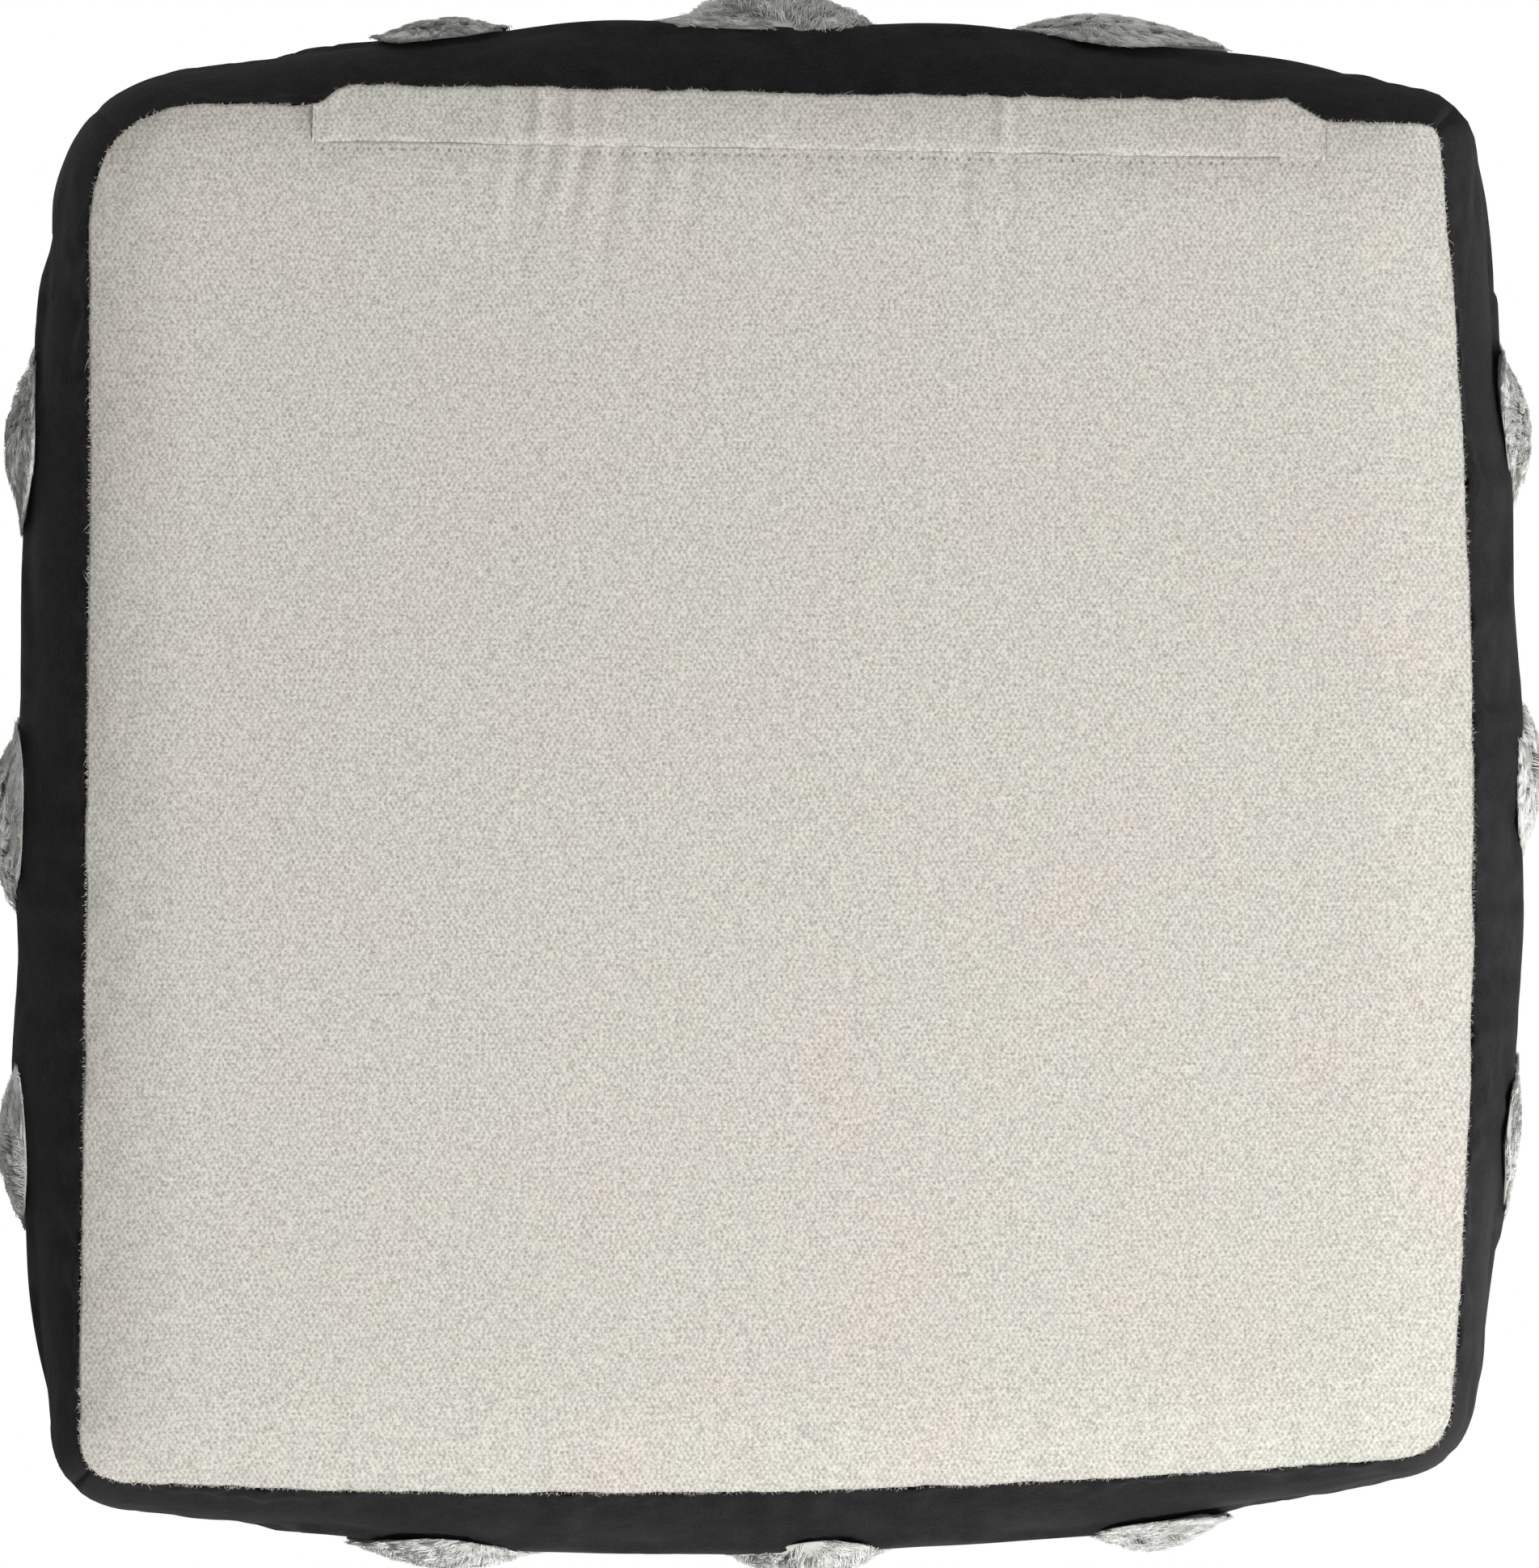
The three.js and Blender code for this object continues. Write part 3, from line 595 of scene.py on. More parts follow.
# Soft creases that run in from the topstitched line: place along it, lean, length, width and rise.
CREASES = [
    (133, -0.05, 40, 4.4, 0.6),
    (119, -0.16, 64, 3.8, 1.3),
    (108, -0.24, 74, 3.4, 0.9),
    (95, -0.20, 56, 3.4, 1.5),
    (81, -0.14, 78, 4.0, 1.2),
    (66, -0.18, 50, 4.4, 0.9),
    (52, -0.08, 56, 4.6, 0.7),
    (8, -0.02, 34, 5.0, 0.5),
    (-42, -0.04, 38, 4.4, 0.6),
    (-58, 0.02, 52, 3.8, 1.0),
    (-77, 0.05, 44, 3.6, 0.8),
    (-122, 0.05, 32, 5.0, 0.5),
]


def base_height(x, y, a, b):
    """Height of the base panel's outer face. a and b are shares 0 to 1 across the panel."""
    roll = [np.clip(1 - (1 - np.abs(2 * t - 1)) * HALF_SIZE / BASE_ROLL, 0, 1) for t in (a, b)]
    edge = roll[0] ** 2 + roll[1] ** 2 - roll[0] ** 2 * roll[1] ** 2
    z = BASE_SEAM_Z * edge
    z = z + 0.35 * MM * relief(3, x, y, 0.07) * (0.15 + edge) + 0.3 * MM
    z = z + 0.35 * MM * relief(4, x, y, 0.018) * edge
    p, q = to_placket(x, y)
    for at, lean, length, width, rise in CREASES:
        inside = smooth_step(q, -length * MM, 0)
        z = z + rise * MM * bump(p - at * MM - lean * q, width * MM) * inside
    near = smooth_step(np.abs(p), FLAP_HALF_LENGTH + 4 * MM, FLAP_HALF_LENGTH - 2 * MM)
    return z + 0.35 * MM * bump(q + 1 * MM, 1.8 * MM) * near


# ---- cover ----------------------------------------------------------------------------------------------

def edge_packed(count, packing=0.3):
    """Shares 0 to 1 that are closer together at both ends."""
    t = np.linspace(-1, 1, count)
    return ((1 + packing) * t - packing * t**3 + 1) / 2


def base_panel():
    across, along = np.linspace(0, 1, 350), edge_packed(150)
    xy = panel_grid(across, along)
    x, y = xy[..., 0], xy[..., 1]
    z = base_height(x, y, across[None, :], along[:, None])
    out = np.stack([x, y, z], -1)
    wobble = 0.2 * MM * relief(11, x, y, 0.008) + 0.3 * MM * relief(12, x, y, 0.04)
    rim = np.maximum(np.abs(2 * across[None, :] - 1), np.abs(2 * along[:, None] - 1)) ** 60
    out[..., :2] *= (1 + (wobble * rim) / HALF_SIZE)[..., None]
    obj = grid_object("base_panel_canvas", out)
    cut_placket(obj)
    thicken(obj, CANVAS, inwards=1)
    finish_piece(obj, "canvas", replaced=["base_panel"])
    return obj


def cut_placket(obj):
    """Cuts the panel away where the zip sits, just past the topstitched line."""
    bm = bmesh.new()
    bm.from_mesh(obj.data)
    c, s = math.cos(PLACKET_TURN), math.sin(PLACKET_TURN)
    planes = [((0, TUCK), (-s, c)), ((FLAP_HALF_LENGTH, 0), (c, s)), ((-FLAP_HALF_LENGTH, 0), (c, s))]
    for (p, q), (nx, ny) in planes:
        at = from_placket(p, q, 0.0)
        near = [f for f in bm.faces if f.calc_center_median().y > PLACKET[1] - 20 * MM]
        geometry = list({*near, *(e for f in near for e in f.edges), *(v for f in near for v in f.verts)})
        bmesh.ops.bisect_plane(bm, geom=geometry, plane_co=at, plane_no=(nx, ny, 0))
    doomed = []
    for f in bm.faces:
        p, q = to_placket(*f.calc_center_median()[:2])
        if q > TUCK and abs(p) < FLAP_HALF_LENGTH:
            doomed.append(f)
    bmesh.ops.delete(bm, geom=doomed, context="FACES")
    bmesh.ops.recalc_face_normals(bm, faces=bm.faces)
    if sum(f.normal.z for f in bm.faces) > 0:
        bmesh.ops.reverse_faces(bm, faces=bm.faces)
    bm.to_mesh(obj.data)
    bm.free()


def settle(obj, held, pressure, slack, cap, ease=1.0):
    """Lets a cover panel sewn down along its seams fill out as cloth, within a cap on its movement."""
    count = len(obj.data.vertices)
    before, after = np.empty(count * 3, np.float32), np.empty(count * 3, np.float32)
    obj.data.vertices.foreach_get("co", before)
    seams = obj.vertex_groups.new(name="seams")
    seams.add(held, 1.0, "REPLACE")
    cloth = obj.modifiers.new("cloth", "CLOTH")
    cloth.point_cache.frame_start, cloth.point_cache.frame_end = 1, SETTLE_FRAMES
    settings = cloth.settings
    settings.quality, settings.mass = CLOTH["quality"], CLOTH["mass"]
    settings.tension_stiffness = settings.compression_stiffness = CLOTH["stretch"]
    settings.shear_stiffness, settings.bending_stiffness = CLOTH["shear"], CLOTH["bend"]
    settings.vertex_group_mass = seams.name
    settings.use_pressure, settings.uniform_pressure_force = True, pressure
    settings.shrink_min = settings.shrink_max = -slack
    settings.effector_weights.gravity = 0
    scene = bpy.context.scene
    for step in range(1, SETTLE_FRAMES + 1):
        scene.frame_set(step)
    settled = obj.evaluated_get(bpy.context.evaluated_depsgraph_get())
    settled.data.vertices.foreach_get("co", after)
    obj.modifiers.remove(cloth)
    obj.vertex_groups.remove(seams)
    scene.frame_set(1)
    move = (after - before).reshape(-1, 3)
    move = np.nan_to_num(move)
    far = np.linalg.norm(move, axis=1)[:, None]
    move *= ease * np.minimum(1, cap / np.maximum(far, 1e-9))
    obj.data.vertices.foreach_set("co", (before.reshape(-1, 3) + move).ravel())
    obj.data.update()


def grid_rim(rows, columns):
    """Indices of the points round the rim of a grid."""
    index = np.arange(rows * columns).reshape(rows, columns)
    return np.unique(np.concatenate([index[0], index[-1], index[:, 0], index[:, -1]])).tolist()


def tuft_centres(index):
    side = side_curve(index)
    return [(side, *tuft) for tuft in SIDE_TUFTS[side["name"]]]


def gusset(index):
    length = strip_length(index)
    shares = edge_packed(190, 0.1)
    point, normal, bulge = along_strip(index, shares)
    rows = edge_packed(46, 0.35)[:, None]
    z = (BASE_SEAM_Z + 0.6 * MM) + (TOP_SEAM_Z - BASE_SEAM_Z - 1.0 * MM) * rows
    run = shares[None, :] * length + index * 1.7
    seam_fade = np.exp(-rows * 9) + 0.8 * np.exp(-(1 - rows) * 9)
    ends = np.minimum(shares, 1 - shares)[None, :] * length
    away = smooth_step(ends, 0, 30 * MM)
    pucker = away * 1.1 * MM * relief(21 + index, run, rows * 0.02, 0.020) * seam_fade
    slack = away * 1.3 * MM * relief(31 + index, run, rows * 0.13, 0.10) * np.sin(math.pi * rows)
    corner = -0.6 * MM * bump(ends, 1.8 * MM)
    gather = away * 0.9 * MM * relief(41 + index, run, rows * 0.3, 0.03) * bump(ends, 45 * MM)
    out = bulge[None, :] * bulge_share(z) + pucker + slack + corner + gather * np.sin(math.pi * rows)
    sag = -2.0 * MM * np.sin(math.pi * rows) ** 2
    xy = point[None] + normal[None] * out[..., None]
    grid = np.concatenate([xy, np.broadcast_to(z + sag, out.shape)[..., None]], -1)
    name = SIDES[index]["name"]
    obj = grid_object(f"gusset_{name}_wool", grid)
    ease = np.broadcast_to(smooth_step(ends, 0, 70 * MM), out.shape).reshape(-1, 1)
    settle(obj, grid_rim(*grid.shape[:2]), pressure=0.5, slack=0.02, cap=SETTLED, ease=ease)
    thicken(obj, WOOL)
    finish_piece(obj, "wool", replaced=[f"gusset_{name}"])
    return obj


def seat_height(x, y, a, b):
    rise = [1 - np.abs(2 * t - 1) ** CROWN_FULLNESS for t in (a, b)]
    edge = np.maximum(np.abs(2 * a - 1), np.abs(2 * b - 1))
    pucker = 0.7 * MM * relief(52, x, y, 0.022) * smooth_step(edge, 0.85, 1.0)
    crown = np.clip(rise[0] * rise[1], 0, 1) ** 0.6
    return TOP_SEAM_Z + CROWN * crown + 0.8 * MM * relief(51, x, y, 0.11) * crown + pucker


def seat_panel():
    shares = edge_packed(130)
    xy = panel_grid(shares, shares)
    x, y = xy[..., 0], xy[..., 1]
    z = seat_height(x, y, shares[None, :], shares[:, None])
    obj = grid_object("seat_panel_wool", np.stack([x, y, z], -1))
    settle(obj, grid_rim(*z.shape), pressure=0.5, slack=0.015, cap=2 * SETTLED)
    thicken(obj, WOOL)
    finish_piece(obj, "wool", replaced=["top_panel"])
    return obj


# ---- zip lap --------------------------------------------------------------------------------------------

def flap_outer_z(q):
    return (3.2 + 0.13 * (q / MM) + 0.0058 * (q / MM) ** 2) * MM


def flap_reach(p):
    """How far the lap's free edge lies from the topstitched line."""
    edge = smooth_step(FLAP_HALF_LENGTH - np.abs(p), 0, 17 * MM)
    reach = 17.3 * MM + (FLAP_REACH - 17.3 * MM) * edge
    return reach + 0.35 * MM * relief(61, p, 0 * p, 0.011) + 0.5 * MM * relief(62, p, 0 * p, 0.045)


LAP_MIDDLE = FLAP_HALF_LENGTH - FLAP_END_LENGTH
LAP_FRAY = 3500
# Thread ends: x, y, z in mm, heading in degrees, length in mm and how far they curl round, in radians.
LAP_THREADS_LEFT = [(-193, 272.5, 8.5, 120, 13, 5.2), (-190, 273, 8.0, 60, 6, -1.2)]
LAP_THREADS_MIDDLE = [(86, 276.5, 9.0, 165, 9, 1.6)]
SEAM_THREADS = [
    (111, -279.5, 9.0, -120, 7, 1.1),
    (169, -279, 9.0, -60, 8, -1.4),
    (171, -279, 9.0, -80, 5, 0.8),
]

# Ridges across the lap: place along it, width and how far they stand out.
RIDGES = [
    (196, 3.0, 0.6), (127, 4.0, 0.7), (113, 2.8, 1.5), (99, 2.8, 1.1),
    (87, 3.6, 0.5), (64, 5.0, 0.5), (21, 5.0, 0.4),
    (-38, 5.0, 0.4), (-74, 2.8, 1.4), (-84, 3.2, 0.6), (-140, 6.0, 0.4), (-172, 3.0, 0.5),
]


def flap_lift_out(p, share):
    """How far the lap's outer face stands out, at a share 0 to 1 from the stitches to its free edge."""
    out = 0.35 * MM * relief(63, p, share * 0.03, 0.05)
    for at, width, height in RIDGES:
        out = out + height * MM * bump(p - at * MM, width * MM)
    uneven = 1 + 0.35 * relief(64, p, 0 * p, 0.012)
    ridge = 0.6 * MM * bump(share - 0.10, 0.08) * uneven
    return out * smooth_step(share, 0, 0.35) + ridge


def flap_part(name, low, high, steps):
    """A stretch of the folded canvas lap: its outer face, the fold at the free edge, and its inner face."""
    p = np.linspace(low, high, steps)[:, None]
    reach = flap_reach(p)
    share = np.concatenate([np.linspace(0, 1, 26), np.linspace(1, 0.01, 16)[1:]])[None, :]
    inner = np.concatenate([np.zeros(26), np.ones(15)])[None, :]
    half = FLAP_THICKNESS / 2
    fold = np.sqrt(np.clip(1 - ((share - 0.955) / 0.045).clip(0, 1) ** 2, 0, 1))
    q = -0.4 * MM + (reach + 0.4 * MM) * share
    middle = flap_outer_z(q) + half - flap_lift_out(p, share)
    thin = 0.12 + 0.88 * smooth_step(share, 0, 0.14)
    z = middle + np.where(inner > 0, half, -half) * (0.25 + 0.75 * fold) * thin
    p, q = np.broadcast_arrays(p, q)
    free = smooth_step(share, 0.0, 0.22)
    z = z * free + (base_surface(p, q) + 0.2 * MM) * (1 - free)
    grid = from_placket(p, q, z)
    rows, columns = grid.shape[:2]
    faces = grid_faces(rows, columns, wrap_columns=True)
    mesh = bpy.data.meshes.new(name)
    caps = [list(range(columns))[::-1], list(range((rows - 1) * columns, rows * columns))]
    mesh.from_pydata(grid.reshape(-1, 3).tolist(), [], faces.tolist() + caps)
    for edge in mesh.edges:
        row = {v // columns for v in edge.vertices}
        edge.use_edge_sharp = len(row) == 1 and row <= {0, rows - 1}
    return new_object(name, mesh)


def move_with_lap(obj, end):
    """Attaches the lap's middle to the flap, so that it lifts whole; an end only has its placement baked
    into its mesh, and does not turn.
    """
    if end == 0:
        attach(obj, "flap")
        return
    z = float(flap_outer_z(0))
    start = from_placket(end * FLAP_HALF_LENGTH, 0.0, z)
    stop = from_placket(end * (LAP_MIDDLE + 1 * MM), 0.0, z)
    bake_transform(obj)


def finish_lap_piece(obj, slot, end):
    keep_rest(obj)
    dress(obj, slot)
    move_with_lap(obj, end)
    return obj


def zip_flap():
    flap = finish_lap_piece(flap_part("zip_flap_canvas", -LAP_MIDDLE, LAP_MIDDLE, 260), "canvas", 0)
    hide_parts("zip_flap")
    for side, end in (("left", -1), ("right", 1)):
        reach = sorted((end * FLAP_HALF_LENGTH, end * LAP_MIDDLE))
        obj = finish_lap_piece(flap_part(f"zip_flap_end_{side}_canvas", *reach, 70), "canvas", end)
        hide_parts(f"zip_flap_end_{side}")


def stitch_row(p, q, z):
    """Paths of lockstitches that go into the cloth at both ends, between successive points of a row."""
    points = from_placket(p, q, z)
    a, b = points[:-1], points[1:]
    t = np.linspace(0.12, 0.88, 7)[None, :, None]
    path = a[:, None] * (1 - t) + b[:, None] * t
    dip = 0.55 * MM * (2 * t[0, :, 0] - 1) ** 4 / 0.34
    path[..., 2] += dip
    return path


def topstitching():
    p = np.arange(-FLAP_HALF_LENGTH, FLAP_HALF_LENGTH + STITCH_PITCH / 2, STITCH_PITCH)
    long_row = stitch_row(p, STITCH_ROW_Y, base_surface(p, STITCH_ROW_Y) - 0.10 * MM)
    rows = [long_row]
    for sign in (-1, 1):
        q = np.arange(STITCH_ROW_Y, 16 * MM, STITCH_PITCH)
        at = np.full(len(q), sign * (FLAP_HALF_LENGTH - 1.5 * MM))
        lift = flap_outer_z(q) - flap_lift_out(at, q / flap_reach(at)) - 0.1 * MM
        rows.append(stitch_row(at, q, lift))
    obj = tubes("flap_topstitching_thread", np.concatenate(rows), 0.24 * MM, 6)
    return finish_piece(obj, "sewing_thread", replaced=["flap_topstitching"])


def base_surface(p, q):
    """Height of the base panel's outer face at a place in the placket frame, near the topstitched line."""
    at = from_placket(p, q, 0.0)
    x, y = at[..., 0], at[..., 1]
    back = np.interp(x, *along_strip(0, np.linspace(1, 0, 200))[0].T)
    b = 1 - (back - y) / (2 * HALF_SIZE)
    return base_height(x, y, 0.5 + x / (2 * HALF_SIZE), b)


def fray(name, root, out, rng):
    """Loose fibre ends that stand out from an edge."""
    side = np.cross(out, [0, 0, 1.0])
    n = len(root)
    length = rng.gamma(1.5, 0.28, n)[:, None] * MM + 0.3 * MM
    sway = rng.normal(0, 1.0, (n, 1))
    rise = np.array([0, 0, 1.0]) * rng.normal(-0.1, 0.3, (n, 1))
    tip = root + (out + side * sway + rise) * length
    middle = root + (tip - root) * 0.5 + side * rng.normal(0, 0.12, (n, 1)) * length
    return fibres(name, root - out * 0.5 * MM, middle, tip, np.full(n, 0.13 * MM))


def seam_fray():
    """Fibre ends along the raw edge of the base panel, which stop where the lap covers it."""
    rng = np.random.default_rng(81)
    roots, outs = [], []
    for index in range(4):
        shares = np.sort(rng.uniform(0, 1, 900))
        point, normal, _ = along_strip(index, shares)
        z = np.full(len(shares), BASE_SEAM_Z + 0.4 * MM)
        p, _ = to_placket(point[:, 0], point[:, 1])
        keep = (index != 0) | (np.abs(p) > FLAP_HALF_LENGTH)
        roots.append(np.column_stack([point, z])[keep])
        outs.append(np.column_stack([normal, np.zeros(len(shares))])[keep])
    obj = fray("seam_fray_threads", np.concatenate(roots), np.concatenate(outs), rng)
    return finish_piece(obj, "canvas")


def lap_fray():
    """Fibre ends along the lap's free edge, in the lap's own three lengths; those of the middle length lift
    with it.
    """
    rng = np.random.default_rng(83)
    p = rng.uniform(-1, 1, LAP_FRAY) * (FLAP_HALF_LENGTH - 3 * MM)
    q = flap_reach(p) - 0.6 * MM
    root = from_placket(p, q, flap_outer_z(q) + rng.uniform(0.1, 1.4, len(p)) * MM)
    out = np.broadcast_to(from_placket(0, 1.0, 0.0) - from_placket(0, 0.0, 0.0), (len(p), 3))
    section = np.where(np.abs(p) < LAP_MIDDLE, 0, np.sign(p))
    for name, end in (("left", -1), ("middle", 0), ("right", 1)):
        here = section == end
        finish_lap_piece(fray(f"lap_fray_{name}_threads", root[here], out[here], rng), "canvas", end)


def loose_threads(name, starts, seed):
    """A few thread ends that curl away from where they start."""
    rng = np.random.default_rng(seed)
    t = np.linspace(0, 1, 14)
    paths = []
    for x, y, z, heading, reach, curl in starts:
        turn = math.radians(heading) + curl * t + 0.5 * np.sin(5 * t + rng.uniform(0, 6))
        step = reach * MM / len(t)
        rise = rng.normal(0, 0.25 * MM, len(t)).cumsum() * 0.3
        along_x, along_y = np.cumsum(np.cos(turn)) * step, np.cumsum(np.sin(turn)) * step
        paths.append(np.column_stack([x * MM + along_x, y * MM + along_y, z * MM + rise]))
    return tubes(name, np.stack(paths), 0.2 * MM, 5)


def thread_ends():
    finish_lap_piece(loose_threads("lap_thread_left", LAP_THREADS_LEFT, 82), "sewing_thread", -1)
    finish_lap_piece(loose_threads("lap_thread_middle", LAP_THREADS_MIDDLE, 84), "sewing_thread", 0)
    finish_piece(loose_threads("seam_threads", SEAM_THREADS, 85), "sewing_thread")


# ---- tufts ----------------------------------------------------------------------------------------------

def side_tuft_frame(side, at, half_width):
    """The outer face of a box side round a tuft, as a function of u, v in -1 to 1 and a lift in metres."""
    middle = (BASE_SEAM_Z + TOP_SEAM_Z) / 2

    def surface(u, v, lift):
        point, normal, bulge = side_points(side, at + u * half_width)
        z = middle + v * SIDE_TUFT_HALF_HEIGHT * MM
        out = bulge * MM * bulge_share(z) + lift + SETTLED
        xy = point * MM + normal * out[:, None]
        return np.column_stack([xy, z])

    return surface


def seat_z_at(x, y):
    a, b = 0.5 + x / (2 * HALF_SIZE), 0.5 + y / (2 * HALF_SIZE)
    return seat_height(x, y, a, b)


def top_tuft_frame(cx, cy):
    half = TOP_TUFT["half_width"]

    def surface(u, v, lift):
        x, y = (cx + u * half) * MM, (cy + v * half) * MM
        return np.column_stack([x, y, seat_z_at(x, y) + lift + SETTLED])

    return surface


def mound(radius, height):
    return height * np.clip(1 - np.clip(radius, 0, 1) ** 2, 0, 1) ** 1.15


def keep_tone(obj, tone):
    attribute = obj.data.attributes.new("tone", "FLOAT", "POINT")
    attribute.data.foreach_set("value", np.asarray(tone, np.float32))


def tuft(name, surface, height, seed):
    """A mound of short pile: hairs that lean one way, parted in clumps, over a body of the same yarn."""
    rng = np.random.default_rng(seed)
    lobes = rng.uniform(0, 2 * math.pi, 3)
    lean_angle = rng.uniform(0, 2 * math.pi)

    def outline(angle):
        return 0.98 + sum(0.05 * np.sin((k + 2) * angle + lobes[k]) for k in range(3))

    def lifted(x, y, lift):
        reach = outline(np.arctan2(y, x))
        return surface(x * reach, y * reach, lift)

    def rounded(x, y):
        return mound(np.hypot(x, y), height)

    locks = TUFT_HAIRS // HAIRS_PER_LOCK
    angle, radius = rng.uniform(0, 2 * math.pi, locks), np.sqrt(rng.uniform(0, 1, locks))
    x, y = radius * np.cos(angle), radius * np.sin(angle)
    swirl = lean_angle + 0.8 * relief(seed + 500, x, y, 1.3, 6) + rng.normal(0, 0.25, locks)
    step = rng.uniform(0.14, 0.34, locks)
    x1, y1 = x + step * np.cos(swirl) + 0.12 * x, y + step * np.sin(swirl) + 0.12 * y
    far = np.maximum(np.hypot(x1, y1) / 1.1, 1)
    x1, y1 = x1 / far, y1 / far
    proud = 1 + rng.normal(0, 0.05, locks)
    bright = np.clip(rng.normal(0.78, 0.2, locks) + 0.12 * relief(seed + 900, x, y, 0.7, 6), 0, 1)

    def each(values):
        return np.repeat(values, HAIRS_PER_LOCK)

    n = locks * HAIRS_PER_LOCK
    root_x, root_y = each(x) + rng.normal(0, 0.05, n), each(y) + rng.normal(0, 0.05, n)
    tip_x, tip_y = each(x1) + rng.normal(0, 0.022, n), each(y1) + rng.normal(0, 0.022, n)
    length = rng.uniform(0.75, 1.05, n)
    tip_x, tip_y = root_x + (tip_x - root_x) * length, root_y + (tip_y - root_y) * length
    lift = rounded(tip_x, tip_y) * each(proud) + rng.uniform(0.5, 1.6, n) * MM
    root = lifted(root_x, root_y, np.maximum(rounded(root_x, root_y) * 0.4, 0.2 * MM))
    tip = lifted(tip_x, tip_y, lift)
    middle_lift = 0.25 * rounded(root_x, root_y) + 0.8 * lift
    middle = lifted(0.6 * root_x + 0.4 * tip_x, 0.6 * root_y + 0.4 * tip_y, middle_lift)
    middle = middle + rng.normal(0, 0.2 * MM, (n, 3))
    radius = rng.uniform(0.14, 0.26, n) * MM
    hair = fibres(name + "_pile", root, middle, tip, radius)
    # Each hair's tone: its lock's own brightness, with painted shade at the root and a painted highlight at
    # the tip.
    tone = each(bright)[:, None] + HAIR_PAINTED_SHADE_AND_HIGHLIGHT + rng.normal(0, 0.08, (n, 1))
    tone = np.clip(tone, 0, 1)
    keep_tone(hair, tone.ravel())
    finish_piece(hair, "tuft_pile", replaced=[name])

    turn = np.linspace(0, 2 * math.pi, 48, endpoint=False)
    rings = [lifted(1.0 * np.cos(turn), np.sin(turn), np.full(48, -0.4 * MM))]
    for r in (1.0, 0.97, 0.9, 0.78, 0.6, 0.4, 0.2, 0.05):
        ring_x, ring_y = r * np.cos(turn), r * np.sin(turn)
        rings.append(lifted(ring_x, ring_y, 0.3 * MM + 0.6 * rounded(ring_x, ring_y)))
    body = np.stack(rings)
    mesh = bpy.data.meshes.new(name + "_body")
    faces = grid_faces(len(body), 48, wrap_columns=True).tolist()
    caps = [list(range(48))[::-1], list(range((len(body) - 1) * 48, len(body) * 48))]
    mesh.from_pydata(body.reshape(-1, 3).tolist(), [], faces + caps)
    obj = new_object(name + "_body", mesh)
    keep_tone(obj, np.full(len(mesh.vertices), 0.5))
    return finish_piece(obj, "tuft_pile")


def tufts():
    for index in range(4):
        for i, (side, at, half_width, height) in enumerate(tuft_centres(index), 1):
            surface = side_tuft_frame(side, at, half_width)
            tuft(f"side_tuft_{side['name']}_{i}", surface, height * MM, 100 + 10 * index + i)
    for row, cy in enumerate(TOP_TUFT_Y, 1):
        for column, cx in enumerate(TOP_TUFT_X, 1):
            seed = 200 + 10 * row + column
            tuft(f"top_tuft_{row}_{column}", top_tuft_frame(cx, cy), TOP_TUFT["height"] * MM, seed)


# ---- zip ------------------------------------------------------------------------------------------------

def coil(name, direction):
    """One row of the chain: a flattened nylon spiral whose inner turns reach between the other row's."""
    pitch = 1.3 * MM
    turns = int(2 * CHAIN["half_length"] * MM / pitch)
    t = np.linspace(0, turns, turns * 10)
    p = (t - turns / 2) * pitch + direction * pitch / 4
    reach = (CHAIN["row_half_width"] + 0.45) * MM
    middle = (CHAIN["y"] + direction * (CHAIN["row_offset"] - 0.45)) * MM
    q = middle + reach * np.cos(2 * math.pi * t)
    z = (CHAIN["z"] + (CHAIN["row_half_height"] - 0.28) * np.sin(2 * math.pi * t)) * MM
    obj = tubes(name + "_spiral", from_placket(p, q, z)[None], 0.28 * MM, 6)
    return finish_piece(obj, "zip_coil", replaced=[name])


def zip_chain():
    coil("zip_coil_panel_side", -1)
    coil("zip_coil_gusset_side", 1)
    for name in ("zip_tape_panel_side", "zip_tape_gusset_side"):
        dress(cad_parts[name], "zip_tape")
    for name in ("zip_slider", "zip_pull_tab", "zip_stop_closed_end", "zip_stop_open_end"):
        node = dress(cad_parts[name], "zip_metal")
        edge = node.modifiers.new("softened edges", "BEVEL")
        edge.width, edge.segments = 0.12 * MM, 2
        edge.limit_method = "ANGLE"


# ---- inner cushion --------------------------------------------------------------------------------------

def soften(name, node, slot, levels):
    """A smoothed copy of a hidden CAD solid."""
    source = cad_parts[node]
    obj = bpy.data.objects.new(name, source.data.copy())
    bpy.context.scene.collection.objects.link(obj)
    smooth = obj.modifiers.new("smooth", "SUBSURF")
    smooth.levels = smooth.render_levels = levels
    obj.data.polygons.foreach_set("use_smooth", np.ones(len(obj.data.polygons), bool))
    return finish_piece(obj, slot, replaced=[node])


def inner_cushion():
    for node in ("insert_bottom", "insert_top", "insert_gusset"):
        dress(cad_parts[node], "insert_casing")
    filling = soften("insert_stuffing", "insert_filling", "stuffing", 1)


# ---- studio ---------------------------------------------------------------------------------------------

def camera():
    data = bpy.data.cameras.new("camera")
    data.sensor_width = 36
    data.lens = data.sensor_width * CAMERA_DISTANCE / PICTURE_HEIGHT
    obj = bpy.data.objects.new("camera", data)
    obj.location = (0, 0, -CAMERA_DISTANCE)
    obj.rotation_euler = (0, math.pi, 0)
    bpy.context.scene.collection.objects.link(obj)
    bpy.context.scene.camera = obj


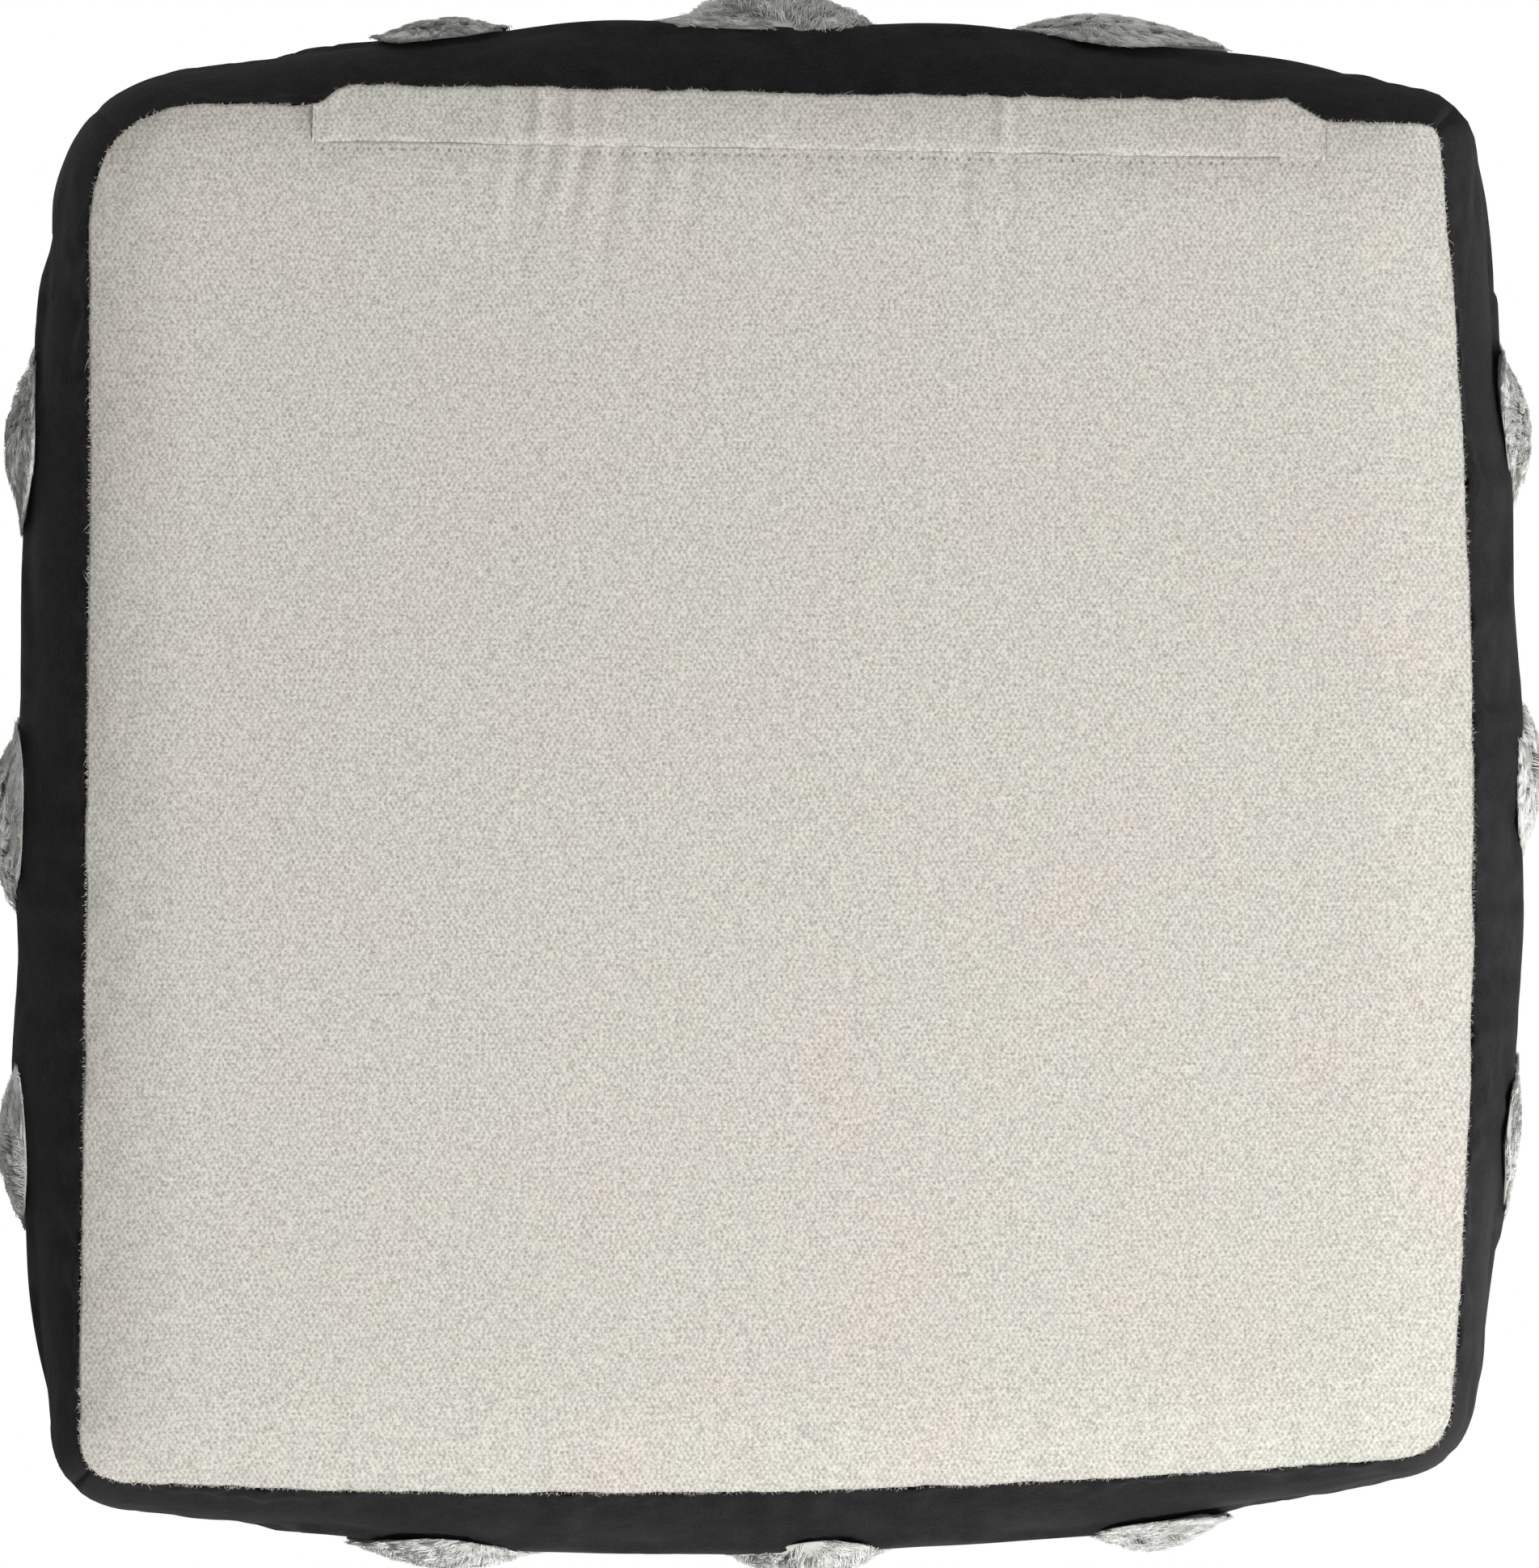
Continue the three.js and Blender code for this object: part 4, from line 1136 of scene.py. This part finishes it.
def floor():
    """A pale floor that is only there from above, so that the base panel shows from below."""
    size = 6.0
    corners = [(-size, -size), (size, -size), (size, size), (-size, size)]
    mesh = bpy.data.meshes.new("floor")
    mesh.from_pydata([(x, y, -0.6 * MM) for x, y in corners], [], [(0, 1, 2, 3)])
    obj = new_object("floor", mesh, smooth=False)
    look = Look("floor", 0.9)
    look.shader.inputs["Base Color"].default_value = (0.80, 0.80, 0.79, 1)
    back = look.node("NewGeometry").outputs["Backfacing"]
    clear = look.node("BsdfTransparent").outputs[0]
    mix = look.node("MixShader", back, look.shader.outputs[0], clear).outputs[0]
    look.tree.links.new(mix, look.tree.nodes["Material Output"].inputs["Surface"])
    obj.data.materials.append(look.material)
    obj.visible_shadow = obj.visible_diffuse = obj.visible_glossy = False


def area_light(name, place, size, power):
    data = bpy.data.lights.new(name, "AREA")
    data.size, data.energy = size, power
    obj = bpy.data.objects.new(name, data)
    obj.location = place
    aim = -np.array(place) / np.linalg.norm(place)

    obj.rotation_mode = "QUATERNION"
    obj.rotation_quaternion = Vector(aim).to_track_quat("-Z", "Y")
    obj.visible_camera = False
    bpy.context.scene.collection.objects.link(obj)


def studio():
    camera()
    floor()
    area_light("key_below", (-0.8, -1.4, -1.8), 0.6, 62)
    area_light("side_below", (-1.9, 0.4, -0.75), 0.5, 9)
    area_light("back_below", (0.3, 1.9, -0.9), 0.6, 8)
    area_light("key_above", (-1.4, -1.6, 2.4), 1.8, 55)
    area_light("fill_above", (1.8, 1.0, 2.0), 2.4, 25)
    world = bpy.data.worlds.new("studio")
    world.use_nodes = True
    tree = world.node_tree
    soft, white = tree.nodes["Background"], tree.nodes.new("ShaderNodeBackground")
    soft.inputs[0].default_value = (1, 1, 1, 1)
    soft.inputs[1].default_value = 0.30
    white.inputs[0].default_value = (1, 1, 1, 1)
    rays, mix = tree.nodes.new("ShaderNodeLightPath"), tree.nodes.new("ShaderNodeMixShader")
    tree.links.new(rays.outputs["Is Camera Ray"], mix.inputs[0])
    tree.links.new(soft.outputs[0], mix.inputs[1])
    tree.links.new(white.outputs[0], mix.inputs[2])
    tree.links.new(mix.outputs[0], tree.nodes["World Output"].inputs[0])
    bpy.context.scene.world = world
    bpy.context.scene.view_settings.view_transform = "Standard"


# ---- assembly -------------------------------------------------------------------------------------------

studio()
base_panel()
for side_index in range(4):
    gusset(side_index)
seat_panel()
zip_flap()
topstitching()
seam_fray()
lap_fray()
thread_ends()
tufts()
zip_chain()
inner_cushion()
